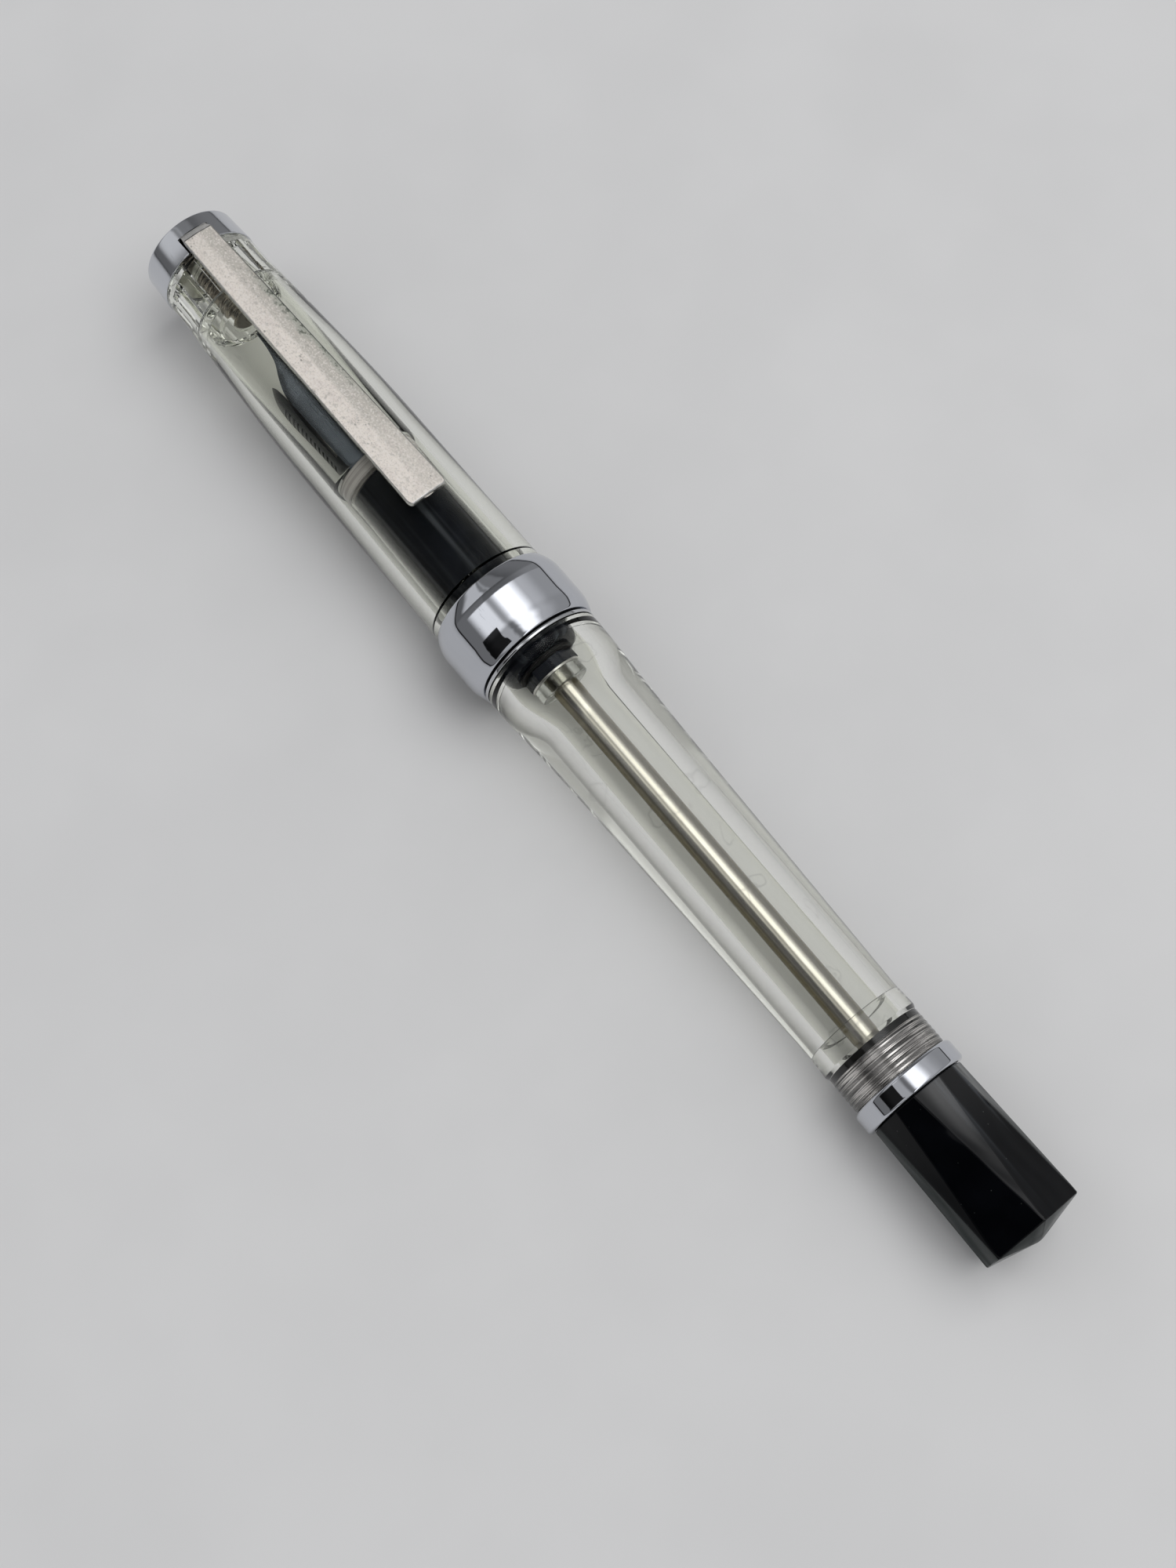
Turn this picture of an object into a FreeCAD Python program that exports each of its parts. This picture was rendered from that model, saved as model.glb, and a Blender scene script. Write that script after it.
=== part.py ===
import FreeCAD, Part
import math
import os

from FreeCAD import Vector

# Clear plunger-filling fountain pen, capped.
# Frame: origin at the centre of the cap band, on the pen's axis; +X runs from the cap's crown
# towards the filling knob, so the nib points to -X; +Z is the clip side. Millimetres.
# Lengths along the pen are stations: station 0 is the crown's end face.
# Angles around the pen are degrees from +Z towards +Y.

# ---- fits, radial ----
CLEAR = 0.05                # running clearance
SNUG = 0.03                 # gap between pieces that are fixed together

# ---- cap ----
CROWN_LEN = 4.10
CROWN_R0 = 5.85             # at the end face
CROWN_R1 = 6.04             # at the cap side
CROWN_BORE_R = 4.60
SPIGOT_R = CROWN_BORE_R - CLEAR
CAP_NECK_R = 5.95
CAP_BORE_R = 5.60           # holds the inner cap, clears the grip
CAP_MOUTH_BORE_R = 6.02     # clears the crests of the barrel's cap thread
CAP_UNDER_BAND_R = 6.95
CAP_END = 64.20
BAND_R = 7.90
BAND_START = 56.60
BAND_END = 64.70
ORIGIN_STATION = (BAND_START + BAND_END) / 2
# outside of the cap: station, radius
CAP_OUTER = [
    (9.00, 6.07), (11.3, 6.21), (15.3, 6.42), (19.3, 6.61), (23.1, 6.79), (27.0, 6.93),
    (31.0, 7.02), (36.0, 7.05), (44.0, 7.07), (50.0, 7.10), (BAND_START, 7.12),
]

# grooves of the socket at the crown end
FLUTES = 16
FLUTE_HALF_ANGLE = 3.6
FLUTE_PHASE = 5.0           # from the clip's plane to the nearest groove
FLUTE_VALLEY_R = 4.75
FLUTE_CREST_R = 4.30
FLUTE_START = 4.60
FLUTE_END = 10.05

INNER_CAP_R = CAP_BORE_R - CLEAR
INNER_CAP_BORE_R = 5.15
INNER_CAP_END = 36.35
SCREW_R = 1.78              # root of the crown screw's thread

# ---- clip ----
CLIP_ROOT_STATION = 3.2     # where the full-thickness arm starts
CLIP_ROOT_Z = 6.90          # height of the top face there
CLIP_RISE = 0.0512          # rise of the top face per millimetre of length
CLIP_T = 0.90
CLIP_ROOF = 0.10            # fall from the middle ridge of the top to each edge
PIVOT_STATION = 2.90
PIVOT_Z = 5.40
BUMP_STATION = 44.2
BUMP_R = 2.2
BUMP_LOW_Z = 7.10           # lowest point of the bump, just above the cap
# arm sections: station, width, top and underside below the top line, edge chamfer
CLIP_SECTIONS = [
    (2.00, 3.30, 0.72, 0.88, 0.05),
    (2.25, 3.52, 0.42, CLIP_T, 0.12),
    (CLIP_ROOT_STATION, 3.70, 0, CLIP_T, 0.18),
    (12.0, 4.05, 0, CLIP_T, 0.18),
    (45.5, 4.80, 0, CLIP_T, 0.18),
    (45.95, 4.55, 0.06, CLIP_T - 0.06, 0.17),
    (46.20, 4.05, 0.22, CLIP_T - 0.20, 0.12),
]

# ---- barrel ----
NECK_R = 5.55
NECK_RING_BORE_R = NECK_R + 0.02    # rings and gaskets on the neck
CAP_THREAD_R = 5.95
FRONT_BORE_R = 4.75
CHAMBER_R = 3.50
GLAND_BORE_R = 4.30
TAIL_ROOT_R = 5.60
TAIL_THREAD_R = 5.80
BARREL_END = 123.20
# outside of the barrel: station, radius
BARREL_OUTER = [
    (65.50, 7.18), (67.5, 7.16), (69.7, 7.07), (72.8, 6.90), (76.0, 6.75), (79.6, 6.61),
    (83.7, 6.48), (91.4, 6.27), (99.7, 6.06), (107.7, 5.86), (115.6, 5.67),
]

# ---- grip section, nib and feed ----
CORE_R = 4.75
CORE_TAIL_R = FRONT_BORE_R - CLEAR
NIB_AXIS_Z = -0.50          # the nib's own axis, below the pen's axis before rolling
NIB_ROLL = -74.7            # right-handed turn about +X; takes the nib's top towards +Y
NIB_R = 3.65
NIB_T = 0.28
SLIT_HALF = 0.05
BREATHER_STATION = 25.6
SOCKET_START = 37           # the cut for the nib starts clear of the core's front
SOCKET_END = 50.05
FEED_END = 49.95
FIN_SLITS = 13
FIN_START = 24.8
FIN_PITCH = 0.72
FIN_GAP = 0.26
# outside of the nib: station, radius about the nib's axis
NIB_OUTER = [
    (13.95, 0.34), (15.0, 0.72), (16.4, 1.22), (17.8, 1.72), (19.6, 2.38), (21.4, 2.98),
    (23.2, 3.42), (25.0, 3.62), (27.0, NIB_R),
]
# lower edge of the nib, seen from the side: station, height
NIB_LOWER_EDGE = [
    (13.0, -0.52), (14.3, -0.55), (16.0, -0.62), (17.6, -0.76), (19.0, -0.95), (20.0, -1.22),
    (21.2, -1.70), (22.5, -2.14), (23.7, -2.46), (26.0, -2.47), (30.0, -2.38), (34.0, -2.28),
    (47.0, -2.20),
]
# side outlines that trim the feed's top and belly: station, height
FEED_TOP_SIDE = [
    (19.0, -0.9), (20.0, -1.15), (21.2, -1.62), (22.5, -2.06), (23.7, -2.36), (33.2, -2.36),
    (33.3, -5.0), (51.0, -5.0), (51.0, 6.0), (19.0, 6.0),
]
FEED_BELLY_SIDE = [
    (20.6, -3.32), (21.4, -2.98), (22.4, -2.70), (24.0, -2.58), (26.0, -2.74), (28.5, -2.84),
    (31.0, -2.80), (33.3, -2.62), (36.2, -2.4), (36.2, -6), (20.6, -6),
]

# ---- filling mechanism ----
ROD_R = 1.50
ROD_END = 130.0
ROD_TIP_R = 0.95
ROD_BORE_R = ROD_R + CLEAR
STUD_BORE_R = ROD_R + 0.01
SEAL_R = CHAMBER_R - CLEAR
GLAND_R = GLAND_BORE_R - CLEAR
STUD_ROOT_R = 2.80
STUD_R = 3.10
STUD_FLANGE_R = 2.95
STUD_TAIL_R = 2.60          # the knob sits on this
COLLAR_START = 66.95
COLLAR_END = 68.40
COLLAR_R = 3.15

KNOB_RING_R = 6.07
KNOB_START = 125.74         # twelve-sided end, at the ring
KNOB_BASE_R = 5.49
KNOB_BASE_HALF_ANGLE = 17.5
KNOB_HEX_STATION = 142.50
KNOB_HEX_R = 5.97
KNOB_TIP_STATION = 143.70
KNOB_TIP_R = 0.35

X_AXIS = Vector(1, 0, 0)
ORIGIN = Vector(0, 0, 0)


# ---- helpers ----
def x_at(station):
    return station - ORIGIN_STATION


def ring_point(station, radius, degrees):
    angle = math.radians(degrees)
    return Vector(x_at(station), math.sin(angle) * radius, math.cos(angle) * radius)


def solid(shape):
    """The shape as one outward-facing solid; a shape of several solids is returned as it is."""
    if shape.ShapeType == "Solid":
        result = shape
    elif len(shape.Solids) == 1:
        result = shape.Solids[0]
    elif len(shape.Solids) > 1:
        return shape
    else:
        result = Part.Solid(shape)
    if result.Volume < 0:
        result.reverse()
    return result


def lathe(*items):
    """Solid of revolution about the pen axis. Each item is a corner (station, radius) or a
    list of them, which a smooth curve passes through. Straight lines join the items."""
    edges, current, first = [], None, None
    for item in items:
        corners = item if isinstance(item, list) else [item]
        points = [Vector(x_at(station), 0, radius) for station, radius in corners]
        if current is None:
            first = points[0]
        elif current.distanceToPoint(points[0]) > 1e-7:
            edges.append(Part.makeLine(current, points[0]))
        if len(points) > 1:
            curve = Part.BSplineCurve()
            curve.interpolate(points)
            edges.append(curve.toShape())
        current = points[-1]
    if current.distanceToPoint(first) > 1e-7:
        edges.append(Part.makeLine(current, first))
    return solid(Part.Face(Part.Wire(edges)).revolve(ORIGIN, X_AXIS, 360))


def loop(points):
    return Part.makePolygon(points + [points[0]])


def prism(points, sweep):
    return solid(Part.Face(loop(points)).extrude(sweep))


def side_prism(outline):
    """Wide plate from a (station, height) outline, centred on the clip's plane."""
    half_width = 8
    points = [Vector(x_at(station), -half_width, z) for station, z in outline]
    return prism(points, Vector(0, 2 * half_width, 0))


def hex_prism(start, end, corner_r, phase):
    corners = [ring_point(start, corner_r, 60 * i + phase) for i in range(6)]
    return prism(corners, Vector(end - start, 0, 0))


def cylinder(start, end, radius):
    return Part.makeCylinder(radius, end - start, Vector(x_at(start), 0, 0), X_AXIS)


def o_ring(station, ring_r, cord_r):
    return Part.makeTorus(ring_r, cord_r, Vector(x_at(station), 0, 0), X_AXIS)


def block(start, end, y0, y1, z0, z1):
    return Part.makeBox(end - start, y1 - y0, z1 - z0, Vector(x_at(start), y0, z0))


def cut_all(body, tools):
    return body.cut(tools[0].multiFuse(tools[1:]))


def add_thread(body, start, end, pitch, root_r, crest_r):
    """Helical ridge between two stations, sunk a little into its body and fused to it."""
    helix = Part.makeHelix(pitch, end - start, root_r)
    half_root, half_crest = pitch * 0.42, pitch * 0.06
    sunk_r = root_r - 0.08
    profile = loop([Vector(sunk_r, 0, -half_root), Vector(crest_r, 0, -half_crest),
                    Vector(crest_r, 0, half_crest), Vector(sunk_r, 0, half_root)])
    ridge = solid(Part.Wire(helix).makePipeShell([profile], True, True))
    ridge.rotate(ORIGIN, Vector(0, 1, 0), 90)
    ridge.translate(Vector(x_at(start), 0, 0))
    return solid(body.fuse(ridge))


# ---- cap ----
def cap_shell():
    """Clear shell: spigot for the crown ring, fluted socket, long bore and wide mouth."""
    shoulder = CROWN_LEN + 0.02
    shell = lathe(
        (3.36, 2.10), (3.36, SPIGOT_R), (shoulder, SPIGOT_R), (shoulder, CAP_NECK_R - 0.03),
        (shoulder + 0.03, CAP_NECK_R), (8.95, CAP_NECK_R), CAP_OUTER,
        (BAND_START, CAP_UNDER_BAND_R), (CAP_END, CAP_UNDER_BAND_R),
        (CAP_END, CAP_MOUTH_BORE_R), (55.4, CAP_MOUTH_BORE_R), (55.0, CAP_BORE_R),
        (FLUTE_END, CAP_BORE_R), (FLUTE_END, FLUTE_CREST_R), (FLUTE_START, FLUTE_CREST_R),
        (FLUTE_START, 2.10))
    inside_r = 3.9          # the groove cutters start inside the crests
    grooves = []
    for i in range(FLUTES):
        middle = i * 360.0 / FLUTES + FLUTE_PHASE
        low, high = middle - FLUTE_HALF_ANGLE, middle + FLUTE_HALF_ANGLE
        corners = [ring_point(FLUTE_START, radius, angle) for radius, angle in (
            (inside_r, low), (FLUTE_VALLEY_R, low), (FLUTE_VALLEY_R, high), (inside_r, high))]
        grooves.append(prism(corners, Vector(FLUTE_END - FLUTE_START, 0, 0)))
    return cut_all(shell, grooves)


def inner_cap():
    """Clear liner that seals on the grip's lip; the crown screw ends in its closed end."""
    return lathe(
        (10.12, 2.05), (10.12, INNER_CAP_R), (INNER_CAP_END - 0.15, INNER_CAP_R),
        (INNER_CAP_END, INNER_CAP_R - 0.15), (INNER_CAP_END, INNER_CAP_BORE_R + 0.12),
        (INNER_CAP_END - 0.12, INNER_CAP_BORE_R), (11.60, INNER_CAP_BORE_R),
        (11.20, INNER_CAP_BORE_R - 0.4), (11.20, 3.60), (11.85, 3.60), (12.00, 3.45),
        (12.00, 0.0), (11.45, 0.0), (11.45, 2.05))


def crown_ring():
    ring = lathe(
        (0.00, CROWN_BORE_R),
        [(0.00, CROWN_R0 - 0.35), (0.10, CROWN_R0 - 0.10), (0.40, CROWN_R0)],
        (CROWN_LEN - 0.15, CROWN_R1), (CROWN_LEN, CROWN_R1 - 0.10), (CROWN_LEN, CROWN_BORE_R))
    # window that the clip comes out of
    return ring.cut(block(1.50, 5.0, -1.95, 1.95, 3.0, 8.0))


def crown_insert():
    """Plain end disc, set flush in the ring."""
    return lathe((0.0, 0.0), (0.0, 4.35), (0.12, SPIGOT_R), (1.30, SPIGOT_R), (1.30, 0.0))


def crown_screw():
    screw = lathe((1.40, 0.0), (1.40, 2.95), (1.60, 3.20), (2.40, 3.20), (2.40, SCREW_R),
                  (11.20, SCREW_R), (11.40, 1.55), (11.40, 0.0))
    driver_slot = block(1.0, 1.95, -0.35, 0.35, -4, 4)
    return add_thread(screw.cut(driver_slot), 3.9, 10.85, 0.70, SCREW_R, 2.00)


def clip_mount():
    """Washer under the screw's head, with the ear that the arm hangs on."""
    start, end = 2.45, 3.31
    mount = cylinder(start, end, 4.30).cut(cylinder(start - 1, end + 1, 2.10))
    ear = block(2.30, end, -1.5, 1.5, 3.40, 4.70)
    ear = ear.fuse(block(2.30, 3.50, -1.5, 1.5, 4.60, 5.72))
    mount = mount.fuse(ear)
    mount = mount.cut(Part.makeCylinder(0.40, 8, Vector(x_at(PIVOT_STATION), -4, PIVOT_Z),
                                        Vector(0, 1, 0)))
    # slot that opens the pivot hole upwards
    return mount.cut(block(PIVOT_STATION - 0.36, PIVOT_STATION + 0.36, -4, 4, PIVOT_Z, 6.5))


def clip_top(station):
    return CLIP_ROOT_Z + (station - CLIP_ROOT_STATION) * CLIP_RISE


def clip_section(station, width, top_drop, under_drop, chamfer):
    """Cross-section with a low ridge on top and chamfered edges."""
    half = width / 2.0
    top = clip_top(station) - top_drop
    bottom = clip_top(station) - under_drop
    edge = top - min(CLIP_ROOF, 0.3 * (top - bottom))
    low = chamfer * 0.6
    outline = [(-half + chamfer, edge), (0, top), (half - chamfer, edge),
               (half, edge - chamfer), (half, bottom + low), (half - low, bottom),
               (-half + low, bottom), (-half, bottom + low), (-half, edge - chamfer)]
    return loop([Vector(x_at(station), y, z) for y, z in outline])


def clip_arm():
    """Lofted arm, bump under its free end, and leg with the pivot pin."""
    arm = solid(Part.makeLoft([clip_section(*row) for row in CLIP_SECTIONS], True, True))
    bump = Part.makeSphere(BUMP_R, Vector(x_at(BUMP_STATION), 0, BUMP_LOW_Z + BUMP_R))
    bump = bump.common(block(41, 47, -1.9, 1.9, 6.5, clip_top(BUMP_STATION) - 0.35))
    half = 1.45
    leg = block(PIVOT_STATION - 0.25, PIVOT_STATION + 0.25, -half, half,
                PIVOT_Z, clip_top(PIVOT_STATION) - 0.45)
    pin = Part.makeCylinder(0.35, 2 * half, Vector(x_at(PIVOT_STATION), -half, PIVOT_Z),
                            Vector(0, 1, 0))
    return arm.fuse(bump).fuse(leg.fuse(pin)).removeSplitter()


def cap_band():
    """Band at the cap's mouth; its middle is a true cylinder."""
    bore_r = CAP_UNDER_BAND_R + SNUG
    mouth_r = CAP_MOUTH_BORE_R + SNUG
    step = CAP_END + 0.05   # behind the cap's end face
    return lathe(
        (BAND_START, bore_r),
        [(BAND_START, 7.15), (56.9, 7.42), (57.5, 7.66), (58.1, 7.83), (58.7, BAND_R)],
        [(62.9, BAND_R), (63.6, 7.78), (64.2, 7.58), (BAND_END, 7.33)],
        (BAND_END, 6.15), (BAND_END - 0.1, mouth_r), (step, mouth_r), (step, bore_r))


# ---- barrel ----
def barrel_tube():
    barrel = lathe(
        (57.40, FRONT_BORE_R), (57.40, NECK_R - 0.25), (57.65, NECK_R), (64.72, NECK_R),
        (65.50, NECK_R), (65.50, 7.05), (65.53, 7.16), BARREL_OUTER,
        (116.30, 5.67), (116.55, 5.71), (118.60, 5.79), (118.85, 5.74), (118.85, TAIL_ROOT_R),
        (BARREL_END - 0.15, TAIL_ROOT_R), (BARREL_END, TAIL_ROOT_R - 0.15),
        (BARREL_END, GLAND_BORE_R), (116.10, GLAND_BORE_R), (116.10, CHAMBER_R),
        [(72.80, CHAMBER_R), (71.9, 3.72), (70.4, 4.50), (69.3, FRONT_BORE_R)])
    barrel = add_thread(barrel, 58.2, 63.4, 1.30, NECK_R, CAP_THREAD_R)
    return add_thread(barrel, 119.25, 122.85, 0.60, TAIL_ROOT_R, TAIL_THREAD_R)


def cap_stop_gasket():
    return lathe((64.75, NECK_RING_BORE_R), (64.75, 6.80), (64.80, 6.90), (64.90, 6.90),
                 (64.95, 6.80), (64.95, NECK_RING_BORE_R))


def trim_ring():
    return lathe((64.96, NECK_RING_BORE_R), (64.96, 7.15), (65.04, 7.25), (65.28, 7.25),
                 (65.36, 7.15), (65.36, NECK_RING_BORE_R))


def trim_gasket():
    return lathe((65.37, NECK_RING_BORE_R), (65.37, 6.98), (65.49, 6.98),
                 (65.49, NECK_RING_BORE_R))


# ---- grip section ----
def section_grip():
    """Clear outer shell; its front lip stands ahead of the core."""
    return lathe(
        (36.42, 4.35), [(36.42, 4.75), (36.50, 4.98), (36.75, 5.10)],
        [(36.75, 5.10), (38.4, 5.07), (41.0, 4.99), (45.0, 4.93), (50.0, 4.95),
         (54.0, 5.02), (57.33, 5.12)],
        (57.33, CORE_R + SNUG), (38.45, CORE_R + SNUG), (38.45, 4.35))


def section_core():
    """Core with an O-ring groove, a socket for nib and feed, and a through bore."""
    core = lathe(
        (38.50, 0.0), [(38.50, 4.25), (38.56, 4.50), (38.75, 4.69), (39.05, CORE_R)],
        (57.36, CORE_R), (57.42, CORE_TAIL_R), (58.80, CORE_TAIL_R), (58.80, 4.15),
        (59.50, 4.15), (59.50, CORE_TAIL_R),
        [(65.60, CORE_TAIL_R), (66.0, 4.60), (66.22, 4.36), (66.30, 4.05)], (66.30, 0.0))
    core = core.cut(Part.makeCylinder(NIB_R + CLEAR, SOCKET_END - SOCKET_START,
                                      ring_point(SOCKET_START, NIB_AXIS_Z, -NIB_ROLL), X_AXIS))
    return core.cut(cylinder(49.0, 68.0, 2.40))


def section_o_ring():
    return o_ring(59.15, 4.44, 0.27)


# ---- nib and feed, made nib side up and then rolled into place ----
def rolled(shape):
    shape = shape.copy()
    shape.rotate(ORIGIN, X_AXIS, NIB_ROLL)
    return shape


def nib_lathe(*items):
    """Solid of revolution about the nib's own axis."""
    turned = lathe(*items)
    turned.translate(Vector(0, 0, NIB_AXIS_Z))
    return turned


def nib():
    inside = [(station, max(radius - NIB_T, 0.10)) for station, radius in NIB_OUTER]
    body = nib_lathe(NIB_OUTER, (46.0, NIB_R), (46.0, NIB_R - NIB_T), inside[::-1])
    body = body.common(side_prism(NIB_LOWER_EDGE + [(47.0, 6.0), (13.0, 6.0)]))
    body = body.cut(block(13.0, BREATHER_STATION, -SLIT_HALF, SLIT_HALF, -1.0, 6.0))
    breather = Part.makeCylinder(0.62, 6, Vector(x_at(BREATHER_STATION), 0, 0),
                                 Vector(0, 0, 1))
    return rolled(body.cut(breather))


def nib_tip():
    """Hard tip: a small bead split by the slit, on the front of the tines."""
    bead = Part.makeSphere(0.40, Vector(x_at(13.86), 0, NIB_AXIS_Z + 0.12))
    bead = bead.common(block(13.0, 13.94, -1, 1, -2, 2))
    return rolled(bead.cut(block(12, 16, -SLIT_HALF, SLIT_HALF, -2, 2)))


def feed():
    gap = NIB_T + 0.03      # from the nib's outside to the feed
    under_nib = [(station, radius - gap) for station, radius in [(19.8, 2.45)] + NIB_OUTER[5:]]
    top = nib_lathe((19.8, 0.0), under_nib, (FEED_END, NIB_R - gap), (FEED_END, 0.0))
    top = top.common(side_prism(FEED_TOP_SIDE))
    belly = nib_lathe(
        (20.6, 0.0),
        [(20.6, 2.75), (21.6, 3.20), (23.0, 3.64), (24.4, 3.80), (28.0, 3.68), (33.0, 3.44),
         (36.2, 3.30)],
        (36.2, 0.0))
    belly = belly.common(side_prism(FEED_BELLY_SIDE))
    starts = [FIN_START + FIN_PITCH * i for i in range(FIN_SLITS)]
    fin_slits = [block(start, start + FIN_GAP, -5, 5, -5.5, -3.35) for start in starts]
    body = cut_all(top.fuse(belly), fin_slits)
    ink_channel = block(19.0, 40.0, -0.15, 0.15, 1.9, 6.0)
    return rolled(body.cut(ink_channel))


# ---- filling mechanism: fixed pieces ----
def gland_seal():
    return lathe((118.92, ROD_BORE_R), (118.92, 4.10), (119.02, 4.22), (119.50, 4.22),
                 (119.58, 4.12), (119.58, ROD_BORE_R))


def gland_body():
    """Bush with a recess for the knob's stud and an inner groove for the rod's O-ring."""
    recess_r = STUD_R + 0.10
    return lathe(
        (119.60, ROD_BORE_R), (119.60, GLAND_R), (123.15, GLAND_R), (123.15, recess_r),
        (121.45, recess_r), (121.45, ROD_BORE_R), (120.90, ROD_BORE_R), (120.90, 2.30),
        (120.15, 2.30), (120.15, ROD_BORE_R))


def rod_o_ring():
    return o_ring(120.52, 1.90, 0.34)


# ---- plunger head ----
def plunger_seal():
    return lathe(
        (66.92, ROD_BORE_R), (66.92, 2.9),
        [(66.88, SEAL_R - 0.12), (66.70, SEAL_R), (66.52, SEAL_R - 0.03),
         (66.36, SEAL_R - 0.25)],
        (66.36, 2.25), (65.10, 2.05), (64.90, 1.85), (64.90, 1.75), (66.20, 1.75),
        (66.20, ROD_BORE_R))


def plunger_collar():
    """Hexagonal collar with its corners turned down at the knob end."""
    collar = hex_prism(COLLAR_START, COLLAR_END, COLLAR_R, 15.3)
    return collar.common(lathe(
        (COLLAR_START, ROD_BORE_R), (COLLAR_START, COLLAR_R), (68.10, COLLAR_R),
        (COLLAR_END, 2.98), (COLLAR_END, ROD_BORE_R)))


def seal_washer():
    return lathe((68.43, ROD_BORE_R), (68.43, 2.96), (68.47, 3.00), (68.68, 3.00),
                 (68.72, 2.96), (68.72, ROD_BORE_R))


def seal_backing_disc():
    return lathe((68.75, ROD_BORE_R), (68.75, 2.86), (70.20, 2.86), (70.40, 2.66),
                 (70.40, ROD_BORE_R))


# ---- knob and rod ----
def plunger_rod():
    return lathe((65.20, 0.0), (65.20, 0.85), (65.30, ROD_TIP_R), (66.24, ROD_TIP_R),
                 (66.24, ROD_R), (ROD_END, ROD_R), (ROD_END, 0.0))


def rod_tip_nut():
    return hex_prism(65.45, 66.17, 1.65, 0).cut(cylinder(65.0, 67.0, ROD_TIP_R + 0.01))


def knob_insert():
    """Threaded stud with a flange, and a tail that goes into the knob."""
    stud = lathe(
        (121.60, STUD_BORE_R), (121.60, 2.65), (121.75, STUD_ROOT_R), (123.90, STUD_ROOT_R),
        (123.90, STUD_FLANGE_R), (125.72, STUD_FLANGE_R), (125.72, STUD_TAIL_R),
        (130.40, STUD_TAIL_R), (130.40, STUD_BORE_R))
    return add_thread(stud, 122.1, 123.1, 0.70, STUD_ROOT_R, STUD_R)


def knob_ring():
    flange_bore_r = STUD_FLANGE_R + 0.02
    return lathe(
        (123.26, STUD_R + CLEAR), [(123.26, 5.72), (123.34, 5.95), (123.62, KNOB_RING_R)],
        [(125.38, KNOB_RING_R), (125.62, 5.97), (125.70, 5.75)], (125.70, flange_bore_r),
        (123.95, flange_bore_r), (123.95, STUD_R + CLEAR))


def knob():
    """Twelve-sided at the ring, six-sided further out, closed by a low six-sided point."""
    base = [ring_point(KNOB_START, KNOB_BASE_R, 60 * i + side * KNOB_BASE_HALF_ANGLE)
            for i in range(6) for side in (-1, 1)]
    corner = [ring_point(KNOB_HEX_STATION, KNOB_HEX_R, 60 * i) for i in range(6)]
    tip = [ring_point(KNOB_TIP_STATION, KNOB_TIP_R, 60 * i) for i in range(6)]
    outlines = [base, tip]
    for i in range(6):
        j = (i + 1) % 6
        outlines += [[base[2 * i], base[2 * i + 1], corner[i]],
                     [base[2 * i + 1], base[2 * j], corner[j], corner[i]],
                     [corner[i], corner[j], tip[j], tip[i]]]
    body = Part.Solid(Part.makeShell([Part.Face(loop(outline)) for outline in outlines]))
    if body.Volume < 0:
        body.reverse()
    return body.cut(cylinder(125.0, 130.60, STUD_TAIL_R + SNUG))


# each piece's file is named after its function
PIECES = [
    cap_shell, inner_cap, crown_ring, crown_insert, crown_screw, clip_mount, clip_arm, cap_band,
    barrel_tube, cap_stop_gasket, trim_ring, trim_gasket,
    section_grip, section_core, section_o_ring, nib, nib_tip, feed,
    gland_seal, gland_body, rod_o_ring,
    plunger_seal, plunger_collar, seal_washer, seal_backing_disc,
    plunger_rod, rod_tip_nut, knob_insert, knob_ring, knob,
]

os.makedirs("parts", exist_ok=True)
for build in PIECES:
    name = build.__name__
    piece = solid(build())
    assert piece.isValid(), name
    piece.exportStep("parts/%s.step" % name)
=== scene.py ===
"""A clear plunger-filling fountain pen, lying capped on a pale floor.

The pen's axis is X: the cap's crown is at the -X end, the knob at the +X end, the clip on +Z.
Parts are drawn in millimetres. A station is a distance along the axis from the crown's end face.
"""
import math

import bmesh
import bpy
import numpy as np
from mathutils import Matrix, Vector, noise


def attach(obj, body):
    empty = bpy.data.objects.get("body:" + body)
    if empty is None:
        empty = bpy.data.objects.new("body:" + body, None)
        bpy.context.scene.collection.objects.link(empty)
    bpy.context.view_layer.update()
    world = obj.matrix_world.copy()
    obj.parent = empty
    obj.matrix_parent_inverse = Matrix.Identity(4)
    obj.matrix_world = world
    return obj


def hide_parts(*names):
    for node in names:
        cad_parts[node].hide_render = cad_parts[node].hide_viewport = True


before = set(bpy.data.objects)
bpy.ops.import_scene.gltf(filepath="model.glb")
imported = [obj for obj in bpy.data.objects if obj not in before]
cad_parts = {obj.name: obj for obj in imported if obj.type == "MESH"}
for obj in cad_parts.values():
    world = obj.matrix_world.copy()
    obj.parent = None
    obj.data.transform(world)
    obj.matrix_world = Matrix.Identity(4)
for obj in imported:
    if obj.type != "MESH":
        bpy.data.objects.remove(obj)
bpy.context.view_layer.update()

scene = bpy.context.scene

MM = 0.001
ORIGIN = 60.65              # station of the frame's origin
FULL_TURN = 2 * math.pi

ROD_RADIUS = 1.50
ROD_HOLE = 1.55             # hole for the rod in the seals, the collar and the gland
CAP_BORE = 5.60
BARREL_MOUTH = 4.75         # inner radius of the barrel's front
BARREL_BORE = 3.50
FRONT_THREAD_ROOT = 5.55
TAIL_THREAD_ROOT = 5.60
RING_SEAT = 5.57            # inner radius of the rings and gaskets at the barrel's shoulder
NIB_TURN = math.radians(-74.7)      # the nib is built facing +Z, then turned about the pen's axis
NIB_AXIS_Z = -0.5                   # height of the nib's own axis before that turn


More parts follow.
